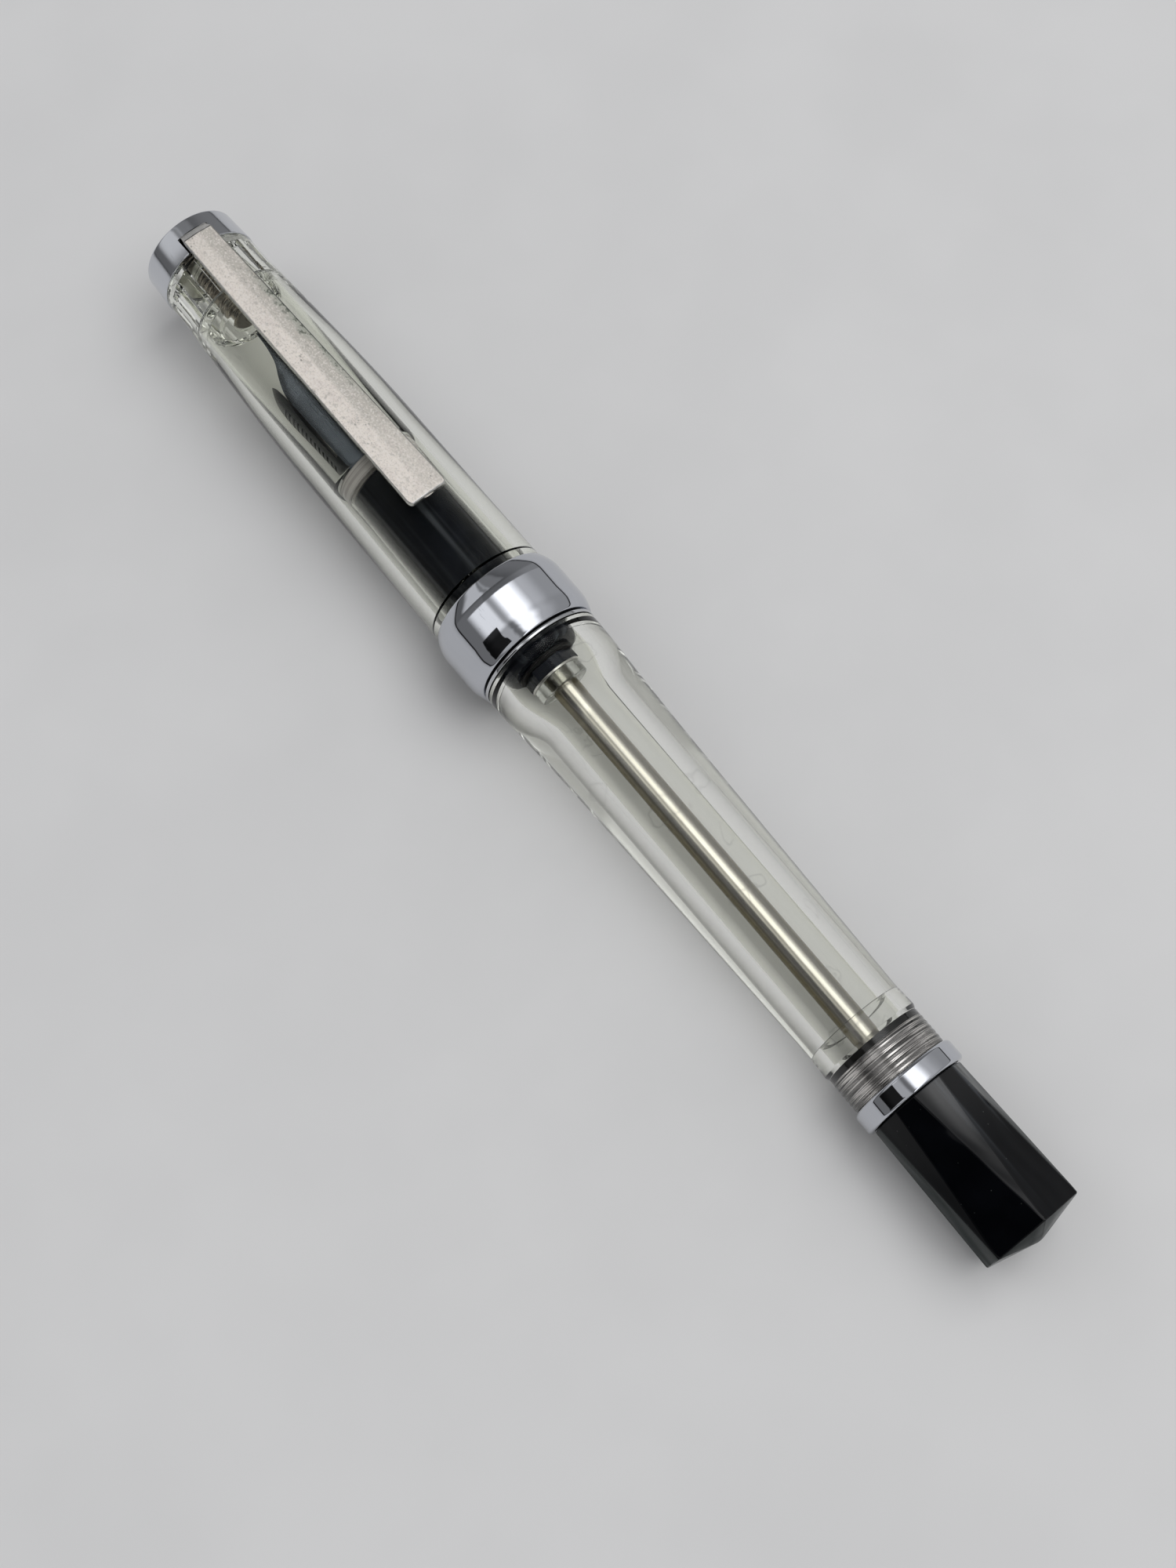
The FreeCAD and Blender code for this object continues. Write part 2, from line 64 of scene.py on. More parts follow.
# ---- outlines -------------------------------------------------------------------------------
def spline(points, count):
    """Natural cubic through (station, radius) points, sampled evenly by chord length."""
    knots = np.array(points, float)
    chord = np.concatenate([[0], np.cumsum(np.linalg.norm(np.diff(knots, axis=0), axis=1))])
    size = len(knots)
    gap = np.diff(chord)
    system = np.zeros((size, size))
    target = np.zeros((size, 2))
    system[0, 0] = system[-1, -1] = 1
    for i in range(1, size - 1):
        system[i, i - 1:i + 2] = gap[i - 1], 2 * (gap[i - 1] + gap[i]), gap[i]
        before = (knots[i] - knots[i - 1]) / gap[i - 1]
        target[i] = 6 * ((knots[i + 1] - knots[i]) / gap[i] - before)
    bend = np.linalg.solve(system, target)
    samples = []
    for x in np.linspace(chord[0], chord[-1], count):
        i = min(max(np.searchsorted(chord, x) - 1, 0), size - 2)
        left, right, width = chord[i + 1] - x, x - chord[i], gap[i]
        point = (bend[i] * left ** 3 + bend[i + 1] * right ** 3) / (6 * width)
        point = point + (knots[i] / width - bend[i] * width / 6) * left
        point = point + (knots[i + 1] / width - bend[i + 1] * width / 6) * right
        samples.append((float(point[0]), float(point[1])))
    return samples


def fillet_arc(corner, before, after, fillet, segments):
    """Points of the arc that replaces a corner, or the corner itself if it is nearly straight."""
    corner = Vector(corner)
    back = Vector(before) - corner
    ahead = Vector(after) - corner
    back_length, ahead_length = back.length, ahead.length
    back, ahead = back / back_length, ahead / ahead_length
    half = math.acos(max(-1, min(1, back.dot(ahead)))) / 2
    if half > math.radians(88):
        return None
    setback = min(fillet / math.tan(half), back_length * 0.48, ahead_length * 0.48)
    radius = setback * math.tan(half)
    centre = corner + (back + ahead).normalized() * (radius / math.sin(half))
    first = corner + back * setback - centre
    last = corner + ahead * setback - centre
    start = math.atan2(first.y, first.x)
    sweep = (math.atan2(last.y, last.x) - start + math.pi) % FULL_TURN - math.pi
    angles = [start + sweep * i / segments for i in range(segments + 1)]
    return [(centre.x + radius * math.cos(a), centre.y + radius * math.sin(a)) for a in angles]


def rounded(points, closed=True, segments=4):
    """Filleted polyline. A point is (station, radius) or (station, radius, fillet)."""
    count, outline = len(points), []
    for i, point in enumerate(points):
        arc = None
        if len(point) > 2 and (closed or 0 < i < count - 1):
            arc = fillet_arc(point[:2], points[i - 1][:2], points[(i + 1) % count][:2],
                             point[2], segments)
        outline += arc or [point[:2]]
    return outline


def steps(start, step, indices, radius):
    """Evenly spaced points of one radius, close enough to carry a thread."""
    return [(start + step * i, radius) for i in indices]


def line(start, end, count, radius):
    return [(station, radius) for station in np.linspace(start, end, count)]


# ---- meshes (millimetres and stations in, metres out) ---------------------------------------
def vertex(station, y, z):
    return ((station - ORIGIN) * MM, y * MM, z * MM)


def around_axis(station, radius, angle, axis=(0.0, 0.0)):
    """Vertex at an angle from +Z towards +Y about the pen's axis, or about one beside it."""
    return vertex(station, axis[0] + radius * math.sin(angle), axis[1] + radius * math.cos(angle))


def shade(mesh, sharp):
    mesh.polygons.foreach_set("use_smooth", [True] * len(mesh.polygons))
    mesh.set_sharp_from_angle(angle=math.radians(sharp))
    mesh.update()


def new_object(name, verts, faces, sharp=30.0):
    mesh = bpy.data.meshes.new(name)
    mesh.from_pydata(verts, [], faces)
    work = bmesh.new()
    work.from_mesh(mesh)
    bmesh.ops.remove_doubles(work, verts=work.verts, dist=1e-7)
    bmesh.ops.recalc_face_normals(work, faces=work.faces)
    work.to_mesh(mesh)
    work.free()
    shade(mesh, sharp)
    item = bpy.data.objects.new(name, mesh)
    scene.collection.objects.link(item)
    return item


def lathe(name, outline, around=160, closed=True, radius_at=None, sharp=30.0, axis=(0.0, 0.0)):
    """Turned solid. radius_at(station, radius, angle) may vary the outline's radius."""
    verts, faces, rows = [], [], []
    for station, radius in outline:
        if radius < 1e-5:
            rows.append([len(verts)])
            verts.append(around_axis(station, 0.0, 0.0, axis))
            continue
        rows.append(range(len(verts), len(verts) + around))
        for j in range(around):
            angle = FULL_TURN * j / around
            varied = radius_at(station, radius, angle) if radius_at else radius
            verts.append(around_axis(station, varied, angle, axis))
    count = len(rows)
    for i in range(count if closed else count - 1):
        here, there = rows[i], rows[(i + 1) % count]
        if len(here) == 1 and len(there) == 1:
            continue
        for j in range(around):
            k = (j + 1) % around
            if len(here) == 1:
                faces.append((here[0], there[j], there[k]))
            elif len(there) == 1:
                faces.append((here[j], there[0], here[k]))
            else:
                faces.append((here[j], there[j], there[k], here[k]))
    return new_object(name, verts, faces, sharp)


def ring(name, start, end, inner, outer, fillet, around, segments=4):
    """Flat ring with its two outer edges rounded."""
    outline = [(start, inner), (start, outer, fillet), (end, outer, fillet), (end, inner)]
    return lathe(name, rounded(outline, segments=segments), around)


def o_ring(name, station, major, minor, around):
    angles = [FULL_TURN * i / 20 for i in range(20)]
    outline = [(station + minor * math.cos(a), major + minor * math.sin(a)) for a in angles]
    return lathe(name, outline, around, sharp=80)


def cylinder(name, start, end, radius, around, axis=(0.0, 0.0)):
    outline = [(start, 0.0), (start, radius), (end, radius), (end, 0.0)]
    return lathe(name, outline, around, closed=False, axis=axis)


def box(name, stations, y_range, z_range):
    verts = [vertex(station, y, z) for station in stations for y in y_range for z in z_range]
    faces = [(0, 1, 3, 2), (4, 6, 7, 5), (0, 4, 5, 1), (2, 3, 7, 6), (0, 2, 6, 4), (1, 5, 7, 3)]
    return new_object(name, verts, faces)


def prism(name, lower, upper):
    """Two matching rings of vertices, walled and capped."""
    count = len(lower)
    faces = [(k, (k + 1) % count, count + (k + 1) % count, count + k) for k in range(count)]
    faces += [tuple(range(count - 1, -1, -1)), tuple(range(count, 2 * count))]
    return new_object(name, lower + upper, faces)


def apply_modifiers(item):
    graph = bpy.context.evaluated_depsgraph_get()
    mesh = bpy.data.meshes.new_from_object(item.evaluated_get(graph))
    old = item.data
    item.modifiers.clear()
    item.data = mesh
    mesh.name = item.name
    bpy.data.meshes.remove(old)


def combine(item, *tools, sharp=30.0, operation="DIFFERENCE"):
    """Apply exact booleans with the tools, then delete them."""
    for tool in tools:
        boolean = item.modifiers.new("cut", "BOOLEAN")
        boolean.operation, boolean.solver, boolean.object = operation, "EXACT", tool
        bpy.context.view_layer.update()
        apply_modifiers(item)
    for tool in tools:
        bpy.data.objects.remove(tool, do_unlink=True)
    shade(item.data, sharp)


def bevel(item, width, segments, angle=28.0, sharp=30.0):
    modifier = item.modifiers.new("bevel", "BEVEL")
    modifier.width, modifier.segments = width * MM, segments
    modifier.limit_method, modifier.angle_limit = "ANGLE", math.radians(angle)
    bpy.context.view_layer.update()
    apply_modifiers(item)
    shade(item.data, sharp)


def place(item, body, material, node):
    """Give a piece its material, moving body, replaced CAD node and material slot."""
    item.data.materials.clear()
    item.data.materials.append(material)
    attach(item, body)
    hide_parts(node)


def thread_wave(station, angle, start, end, pitch, lead):
    """0 at the root to 1 at the crest of a helical ridge, running out at both ends."""
    phase = ((station - start) / pitch - angle / FULL_TURN) % 1.0
    off_crest = abs(phase - 0.5) * 2           # 0 mid-ridge, 1 mid-groove
    wave = min(1.0, max(0.0, (0.84 - off_crest) / 0.70))
    wave = wave * wave * (3 - 2 * wave) * 0.35 + wave * 0.65
    fade_in = min(1.0, max(0.0, (station - start) / lead))
    fade_out = min(1.0, max(0.0, (end - station) / lead))
    return wave * (fade_in * fade_out)


def thread(root, height, start, end, pitch, lead):
    """radius_at function that raises a thread on the outline points of radius root."""
    def radius_at(station, radius, angle):
        if abs(radius - root) >= 1e-6:
            return radius
        return radius + height * thread_wave(station, angle, start, end, pitch, lead)
    return radius_at


# ---- shader graphs --------------------------------------------------------------------------
def dimmed(colour, factor):
    return tuple(channel * factor for channel in colour)


class Graph:
    """Node graph of a material or world. Texture scales are in cycles per metre."""

    def __init__(self, owner, coordinates="Object"):
        self.owner = owner
        owner.use_nodes = True
        self.tree = owner.node_tree
        self.tree.nodes.clear()
        self.position = self.add("TexCoord").outputs[coordinates]

    def add(self, kind, values=None, **settings):
        """New node; values go to its inputs, by name or index."""
        node = self.tree.nodes.new("ShaderNode" + kind)
        for key, setting in settings.items():
            setattr(node, key, setting)
        for key, value in (values or {}).items():
            self.put(node.inputs[key], value)
        return node

    def put(self, socket, value):
        if isinstance(value, bpy.types.NodeSocket):
            self.tree.links.new(value, socket)
        elif socket.type == "RGBA":
            socket.default_value = (*value, 1.0)
        else:
            socket.default_value = value

    def math(self, operation, first, second=0.0):
        node = self.add("Math", {0: first, 1: second, 2: 0.0}, operation=operation)
        return node.outputs[0]

    def plus(self, first, second):
        return self.math("ADD", first, second)

    def minus(self, first, second):
        return self.math("SUBTRACT", first, second)

    def times(self, first, second):
        return self.math("MULTIPLY", first, second)

    def dot(self, vector, direction):
        node = self.add("VectorMath", {0: vector, 1: direction}, operation="DOT_PRODUCT")
        return node.outputs["Value"]

    def separate(self, vector=None):
        return self.add("SeparateXYZ", {0: vector or self.position}).outputs

    def scaled(self, scale, offset=(0, 0, 0)):
        values = {"Vector": self.position, "Scale": scale, "Location": offset}
        return self.add("Mapping", values).outputs[0]

    def noise(self, vector, scale=1.0, detail=3.0, rough=0.55, distortion=0.0):
        values = {"Vector": vector, "Scale": scale, "Detail": detail, "Roughness": rough,
                  "Distortion": distortion}
        return self.add("TexNoise", values).outputs["Fac"]

    def grain(self, scale, offset=(0, 0, 0), **settings):
        """Noise with its own scale for each axis."""
        return self.noise(self.scaled(scale, offset), **settings)

    def hairlines(self, scale, low, high, offset=(0, 0, 0), detail=3.0):
        """Sparse scratches, drawn out along the pen."""
        return self.span(self.grain(scale, offset, detail=detail, rough=0.7), low, high)

    def cells(self, vector, output="Distance"):
        return self.add("TexVoronoi", {"Vector": vector, "Scale": 1.0}).outputs[output]

    def ramp(self, factor, *stops):
        """Grey ramp through two (position, level) stops."""
        node = self.add("ValToRGB", {0: factor})
        for element, (position, level) in zip(node.color_ramp.elements, stops):
            element.position = position
            element.color = (level, level, level, 1)
        return node.outputs["Color"]

    def span(self, value, low, high, start=0.0, end=1.0, smooth=True):
        """Map low..high to start..end, held beyond both."""
        node = self.add("MapRange", {"Value": value, "From Min": low, "From Max": high,
                                     "To Min": start, "To Max": end})
        node.interpolation_type = "SMOOTHSTEP" if smooth else "LINEAR"
        return node.outputs[0]

    def band(self, value, rise, fall, floor=0.0):
        """1 between the rise and fall intervals, 0 before them, floor after."""
        return self.times(self.span(value, *rise), self.span(value, *fall, 1.0, floor))

    def mix(self, factor, base, over):
        return self.add("Mix", {0: factor, 6: base, 7: over}, data_type="RGBA").outputs[2]

    def layer(self, base, mask, amount, over):
        return self.mix(self.times(mask, amount), base, over)

    def facing(self):
        return self.add("LayerWeight").outputs["Facing"]

    def bump(self, height, strength, distance, normal=None):
        values = {"Strength": strength, "Distance": distance, "Height": height}
        if normal is not None:
            values["Normal"] = normal
        return self.add("Bump", values).outputs[0]

    def principled(self, **values):
        named = {key.replace("_", " "): value for key, value in values.items()}
        return self.add("BsdfPrincipled", named)

    def finish(self, shader, kind="OutputMaterial"):
        self.add(kind, {"Surface": shader.outputs[0]})
        return self.owner


def new_graph(name):
    return Graph(bpy.data.materials.new(name))


# ---- materials ------------------------------------------------------------------------------
def drop_rims(graph, seed, share):
    """Thin rims of irregular round spots, like dried drops, on a share of the cells."""
    base = graph.scaled((170, 170, 170), (seed * 3.1, 1.7, 0.4))
    swirl = graph.add("TexNoise", {"Scale": 2.3, "Vector": base}).outputs["Color"]
    shift = graph.add("VectorMath", {0: swirl, "Scale": 0.55}, operation="SCALE")
    warped = graph.add("VectorMath", {0: base, 1: shift.outputs["Vector"]}, operation="ADD")
    warped = warped.outputs["Vector"]
    rim = graph.band(graph.cells(warped), rise=(0.20, 0.225), fall=(0.225, 0.26))
    pick = graph.add("SeparateColor", {0: graph.cells(warped, "Color")}).outputs[0]
    return graph.times(rim, graph.span(pick, 1.0 - share, 1.0 - share + 0.02))


def clear_plastic(name, tint, seed, scratches, rough=0.0, drops=0.0, shadow=0.972, relief=0.012,
                  ior=1.49, edge=None, gloss=(1.0, 1.0), gloss_step=(0.0105, 0.0135), milky=None):
    """Clear plastic that lets light through its shadow.

    gloss: face-on reflection before and after gloss_step (x in metres).
    edge: painted edge highlight, a yellow-green tint at a glancing angle. milky: x range of a
    cloudy, finely turned band.
    """
    graph = new_graph(name)
    fine = graph.grain((900, 2600, 2600), (seed, 0, 0), detail=2.0)
    hair = graph.hairlines((260, 9000, 9000), low=0.60, high=0.74, offset=(0, seed, 0), detail=4.0)
    height = graph.plus(graph.times(hair, scratches * 0.5), graph.times(fine, 0.01))
    rims = drop_rims(graph, seed, drops)
    roughness = graph.plus(rough, graph.times(hair, 0.03 * scratches))
    roughness = graph.plus(roughness, graph.times(rims, 0.16))
    height = graph.plus(height, graph.times(rims, 0.8))
    normal = graph.bump(height, strength=relief, distance=0.00003)
    colour = graph.layer(tint, rims, 0.62, dimmed(tint, 0.66))
    # Painted edge highlight: the colour turns to the edge tint towards glancing angles.
    if edge:
        colour = graph.mix(graph.span(graph.facing(), 0.30, 0.75), colour, edge)
    reflection = graph.span(graph.separate()[0], *gloss_step, *gloss)
    transmission = 1.0
    if milky:
        blur = 0.0001
        inside = graph.band(graph.separate()[0], rise=(milky[0] - blur, milky[0] + blur),
                            fall=(milky[1] - blur, milky[1] + blur))
        turned = graph.span(graph.grain((5200, 60, 60), detail=2.0), 0.44, 0.58)
        cloudy = graph.mix(turned, (0.62, 0.58, 0.565), (0.86, 0.83, 0.81))
        colour = graph.mix(inside, colour, cloudy)
        roughness = graph.plus(roughness, graph.times(inside, 0.22))
        transmission = graph.minus(1.0, graph.times(inside, 0.62))
    plastic = graph.principled(Base_Color=colour, Transmission_Weight=transmission, IOR=ior,
                               Roughness=roughness, Normal=normal, Specular_Tint=reflection)
    see_through = graph.add("BsdfTransparent", {0: (shadow, shadow, shadow * 0.994)})
    in_shadow = graph.add("LightPath").outputs["Is Shadow Ray"]
    return graph.finish(graph.add("MixShader", {0: in_shadow, 1: plastic.outputs[0],
                                                2: see_through.outputs[0]}))


def chrome(name, colour, rough=0.05, smudge=0.06, seed=0.0):
    """Polished plating with smudges, hairlines and dust specks."""
    graph = new_graph(name)
    cloud = graph.grain((220, 220, 220), (seed, seed, 0), detail=4.0)
    hair = graph.hairlines((700, 5200, 5200), low=0.62, high=0.75, offset=(0, seed, 0))
    roughness = graph.plus(rough, graph.times(graph.span(cloud, 0.45, 0.8), smudge))
    roughness = graph.plus(roughness, graph.times(hair, 0.10))
    dust = graph.span(graph.cells(graph.scaled((1500, 1500, 1500))), 0.05, 0.09, 1.0, 0.0)
    dusty = graph.layer(colour, dust, 0.12, dimmed(colour, 0.6))
    height = graph.plus(cloud, graph.times(hair, 0.3))
    normal = graph.bump(height, strength=0.04, distance=0.00005)
    return graph.finish(graph.principled(Base_Color=dusty, Metallic=1.0, Roughness=roughness,
                                         Normal=normal))


def turned_steel(name, colour, rough, along=False, warm=(0.0, 0.0, 0.0), painted_edge_shade=None, lines=0.0,
                 relief=0.10):
    """Steel streaked along the axis if along, otherwise marked around it.

    warm: added to the cloudy patches. flank: painted shade, the darker colour off the face-on strip.
    lines: strength of dark lines around the axis, 0.42 mm apart.
    """
    graph = new_graph(name)
    if along:
        streak = graph.grain((60, 3800, 3800), detail=4.0, rough=0.6)
    else:
        position = graph.add("CombineXYZ", {0: graph.times(graph.separate()[0], 1.0)})
        streak = graph.noise(position.outputs[0], scale=9000, detail=3.0, rough=0.6)
    cloud = graph.grain((300, 300, 300))
    roughness = graph.plus(rough, graph.times(streak, 0.16))
    patch = tuple(channel * 0.82 + extra for channel, extra in zip(colour, warm))
    shaded = graph.layer(colour, graph.span(cloud, 0.4, 0.7), 0.35, patch)
    shaded = graph.layer(shaded, graph.span(streak, 0.35, 0.65), 0.25, dimmed(colour, 0.75))
    if lines:
        line_pitch, waver = 0.00042, 7.0       # metres; radians
        x = graph.separate()[0]
        uneven = graph.grain((1500, 90, 90), detail=2.0)
        phase = graph.plus(graph.times(x, FULL_TURN / line_pitch), graph.times(uneven, waver))
        wave = graph.math("SINE", phase)
        shaded = graph.layer(shaded, graph.span(wave, -0.1, 0.7), lines, dimmed(colour, 0.10))
    # Painted highlight and shade: the colour stays bright on the face-on strip and darkens off it.
    if painted_edge_shade:
        shaded = graph.mix(graph.span(graph.facing(), 0.07, 0.24), shaded, painted_edge_shade)
    normal = graph.bump(streak, strength=relief, distance=0.00002)
    return graph.finish(graph.principled(Base_Color=shaded, Metallic=1.0, Roughness=roughness,
                                         Normal=normal))


def dark_plastic(name, colour, rough, grain, spec, scale=1.0, lighter=1.8, dust=0.0, rim=None,
                 streak=0.0, wavy=0.0, worn=0.10):
    """Dark plastic or rubber.

    lighter: factor of the cloudy patches. rim: painted sheen, a lighter colour at a glancing
    angle, which also limits the gloss and streaks to the near part of the knob. wavy: broad
    unevenness of the surface.
    worn: roughness of the hairlines.
    """
    graph = new_graph(name)
    cloud = graph.grain((260 * scale,) * 3, detail=4.0)
    fine = graph.grain((2600 * scale,) * 3, detail=2.0)
    hair = graph.hairlines((900, 7000, 5000), low=0.64, high=0.75)
    shaded = graph.mix(graph.span(cloud, 0.35, 0.75), colour, dimmed(colour, lighter))
    # Painted sheen: the colour turns lighter green-grey towards glancing angles.
    if rim:
        facing = graph.facing()
        shaded = graph.mix(graph.span(facing, 0.35, 0.95), shaded, rim)
    if dust:
        specks = graph.span(graph.cells(graph.scaled((900, 900, 900))), 0.04, 0.08, 1.0, 0.0)
        shaded = graph.layer(shaded, specks, dust, (0.35, 0.35, 0.34))
    roughness = graph.plus(rough, graph.times(cloud, 0.06))
    roughness = graph.plus(roughness, graph.times(hair, worn))
    # Lighter blue-grey streaks drawn out along the pen.
    if streak:
        broad = graph.grain((16, 560, 560), (3, 0, 0), detail=2.0, rough=0.5)
        narrow = graph.grain((30, 1500, 1500), (0, 3, 0), detail=1.0)
        lengthwise_streaks = graph.times(graph.span(broad, 0.47, 0.66), graph.span(narrow, 0.36, 0.66))
        if rim:
            near_ring = graph.times(graph.span(graph.separate()[0], 0.0665, 0.0790, 1.0, 0.12),
                                    graph.span(graph.separate()[1], -0.0009, 0.0004))
            lengthwise_streaks = graph.times(lengthwise_streaks, near_ring)
        shaded = graph.layer(shaded, lengthwise_streaks, streak, (0.24, 0.265, 0.30))
    height = graph.plus(fine, graph.times(hair, 0.4))
    normal = graph.bump(height, strength=grain, distance=0.00004)
    if wavy:
        swell = graph.grain((75, 190, 190), (1.3, 0.4, 0.0), detail=1.0, distortion=0.6)
        normal = graph.bump(swell, strength=wavy, distance=0.0012, normal=normal)
    if rim:
        spec = graph.times(graph.span(facing, 0.25, 0.80, spec, spec * 0.22),
                           graph.span(graph.separate()[0], 0.0655, 0.0740, 1.0, 0.45))
        spec = graph.times(spec, graph.span(graph.separate()[1], -0.0012, 0.0002, 0.32, 1.0))
    return graph.finish(graph.principled(Base_Color=shaded, Roughness=roughness, Normal=normal,
                                         Specular_IOR_Level=spec))


def clustered_pits(graph):
    """Masks of all the pits: close small ones and wide sparse ones, in shared clusters."""
    small = graph.cells(graph.scaled((1700, 2300, 2300), (2, 0, 0)))
    cluster = graph.grain((260, 420, 420), (1, 7, 0))
    small = graph.times(graph.span(small, 0.16, 0.30, 0.75, 0.0),
                        graph.span(cluster, 0.54, 0.64))
    wide = graph.cells(graph.scaled((700, 1000, 1000), (5, 3, 0)))
    wide = graph.times(graph.span(wide, 0.07, 0.14, 0.85, 0.0), graph.span(cluster, 0.50, 0.58))
    return graph.math("MAXIMUM", small, wide)


def edge_stain(graph, x, y, half_width, mottle):
    """Ragged stain along the +Y edge, strongest over the first half."""
    ragged = graph.times(graph.minus(mottle, 0.5), -0.0022)
    edge = graph.plus(graph.minus(half_width, y), ragged)
    edge = graph.span(edge, 0.0002, 0.0012, 1.0, 0.0)
    length = graph.band(x, rise=(-0.052, -0.045), fall=(-0.037, -0.024), floor=0.15)
    return graph.times(edge, length)


def blasted(name):
    """Worn blasted strip with a green stain, painted shade on the half past the ridge and a painted
    dark line of shade at the +Y edge; its sides and root facet are polished.
    """
    graph = new_graph(name)
    x, y, _ = graph.separate()
    grain = graph.grain((3900, 4800, 4800), detail=2.5, rough=0.65)
    coarse = graph.grain((1300, 1700, 1700), (4, 0, 0), detail=4.0, rough=0.70)
    mottle = graph.grain((500, 800, 800), (3, 1, 0), detail=4.0, rough=0.6)
    broad = graph.grain((90, 180, 180), (0, 5, 2), detail=2.0)

    # Painted shade: the half past the ridge (+Y) is painted darker, with a ragged border.
    jag = graph.times(graph.minus(coarse, 0.5), 0.0013)
    side = graph.span(graph.plus(y, jag), -0.00020, 0.00040)
    side = graph.times(side, graph.span(x, -0.030, -0.018, 1.0, 0.45))
    colour = graph.mix(side, (0.97, 0.905, 0.835), (0.68, 0.645, 0.585))

    pits = clustered_pits(graph)
    half_width = graph.span(x, -0.0575, -0.0148, 0.00185, 0.00240, smooth=False)
    stain = edge_stain(graph, x, y, half_width, mottle)
    dirt = graph.times(stain, graph.span(coarse, 0.52, 0.58))
    layers = [      # mask, strength, colour
        (graph.span(broad, 0.42, 0.60), 0.30, (0.70, 0.66, 0.60)),
        (graph.span(mottle, 0.50, 0.66), 0.40, (0.78, 0.70, 0.655)),
        (graph.span(grain, 0.50, 0.64), 0.65, (1.0, 0.955, 0.92)),
        (graph.span(grain, 0.48, 0.34), 0.42, (0.52, 0.485, 0.45)),
        (graph.span(coarse, 0.46, 0.34), 0.45, (0.50, 0.475, 0.435)),
        (pits, 0.80, (0.10, 0.10, 0.085)),
        (stain, 0.65, (0.36, 0.395, 0.335)),
        (dirt, 0.80, (0.045, 0.065, 0.045)),
    ]
    for mask, strength, over in layers:
        colour = graph.layer(colour, mask, strength, over)

    # Painted shade: a dark line right at the +Y edge, a fainter one at the other.
    inset = graph.minus(half_width, graph.math("ABSOLUTE", y))
    positive = graph.span(y, 0.0, 0.0002)
    rim = graph.times(graph.span(inset, 0.00006, 0.00017, 1.0, 0.0),
                      graph.span(positive, 0.0, 1.0, 0.35, 0.85))
    colour = graph.mix(rim, colour, (0.06, 0.065, 0.055))

    # Everything that does not face straight up, and the root facet, is polished.
    normal_z = graph.separate(graph.add("TexCoord").outputs["Normal"])[2]
    top = graph.times(graph.span(normal_z, 0.965, 0.985), graph.span(x, -0.05755, -0.05740))
    lengthwise_streaks = graph.grain((400, 1200, 1200))
    polished = graph.mix(graph.span(lengthwise_streaks, 0.35, 0.65), (0.46, 0.455, 0.435), (0.60, 0.59, 0.57))
    colour = graph.mix(top, polished, colour)
    height = graph.minus(graph.plus(grain, graph.times(coarse, 0.6)), graph.times(pits, 1.6))
    normal = graph.bump(graph.times(height, top), strength=0.55, distance=0.00003)
    roughness = graph.mix(top, graph.ramp(lengthwise_streaks, (0.3, 0.16), (0.7, 0.30)),
                          graph.ramp(grain, (0.3, 0.50), (0.7, 0.66)))
    metallic = graph.times(graph.span(graph.times(pits, top), 0.0, 0.6, 1.0, 0.15),
                           graph.span(top, 0.0, 1.0, 1.0, 0.50))
    return graph.finish(graph.principled(Base_Color=colour, Metallic=metallic,
                                         Roughness=roughness, Normal=normal))


# The edge colours of the cap and barrel are painted edge highlights.
CLEAR_CAP = clear_plastic(
    "clear_cap", (0.972, 0.978, 0.938), scratches=0.5, drops=0.08, seed=1.3, shadow=0.945,
    relief=0.004, edge=(0.925, 0.945, 0.835), gloss=(0.12, 0.0), gloss_step=(-0.034, -0.024))
CLEAR_LINER = clear_plastic(
    "clear_liner", (0.988, 0.990, 0.974), scratches=0.2, seed=4.1, shadow=0.985, ior=1.16,
    relief=0.002, gloss=(0.0, 0.0))
CLEAR_BARREL = clear_plastic(
    "clear_barrel", (0.974, 0.978, 0.940), scratches=0.6, drops=0.45, seed=2.2, shadow=0.945,
    edge=(0.925, 0.94, 0.825), gloss=(0.05, 1.0))
CLEAR_GRIP = clear_plastic(
    "clear_grip", (0.955, 0.955, 0.940), scratches=0.2, seed=7.7, ior=1.36, relief=0.002,
    gloss=(0.0, 0.0), milky=(-0.02430, -0.02235))
SMOKY_DISC = clear_plastic(
    "smoky_disc", (0.66, 0.67, 0.65), rough=0.10, scratches=0.2, seed=5.5, shadow=0.8)
CHROME = chrome("bright_chrome", (0.565, 0.580, 0.620), rough=0.03, smudge=0.04)
CROWN_CHROME = chrome("crown_chrome", (0.630, 0.645, 0.680), rough=0.12, seed=2.0)
TRIM_STEEL = chrome("trim_steel", (0.60, 0.61, 0.63), rough=0.08)
# The rod's dark brown edge colour is painted shade around a painted face-on highlight.
ROD_STEEL = turned_steel(
    "drawn_rod", (0.76, 0.73, 0.655), rough=0.14, along=True, warm=(0.03, 0.02, 0.0),
    painted_edge_shade=(0.155, 0.135, 0.085))
STEEL = turned_steel("turned_steel", (0.66, 0.65, 0.63), rough=0.16)
GLAND_METAL = turned_steel("turned_gland", (0.74, 0.71, 0.71), rough=0.12, lines=0.75)
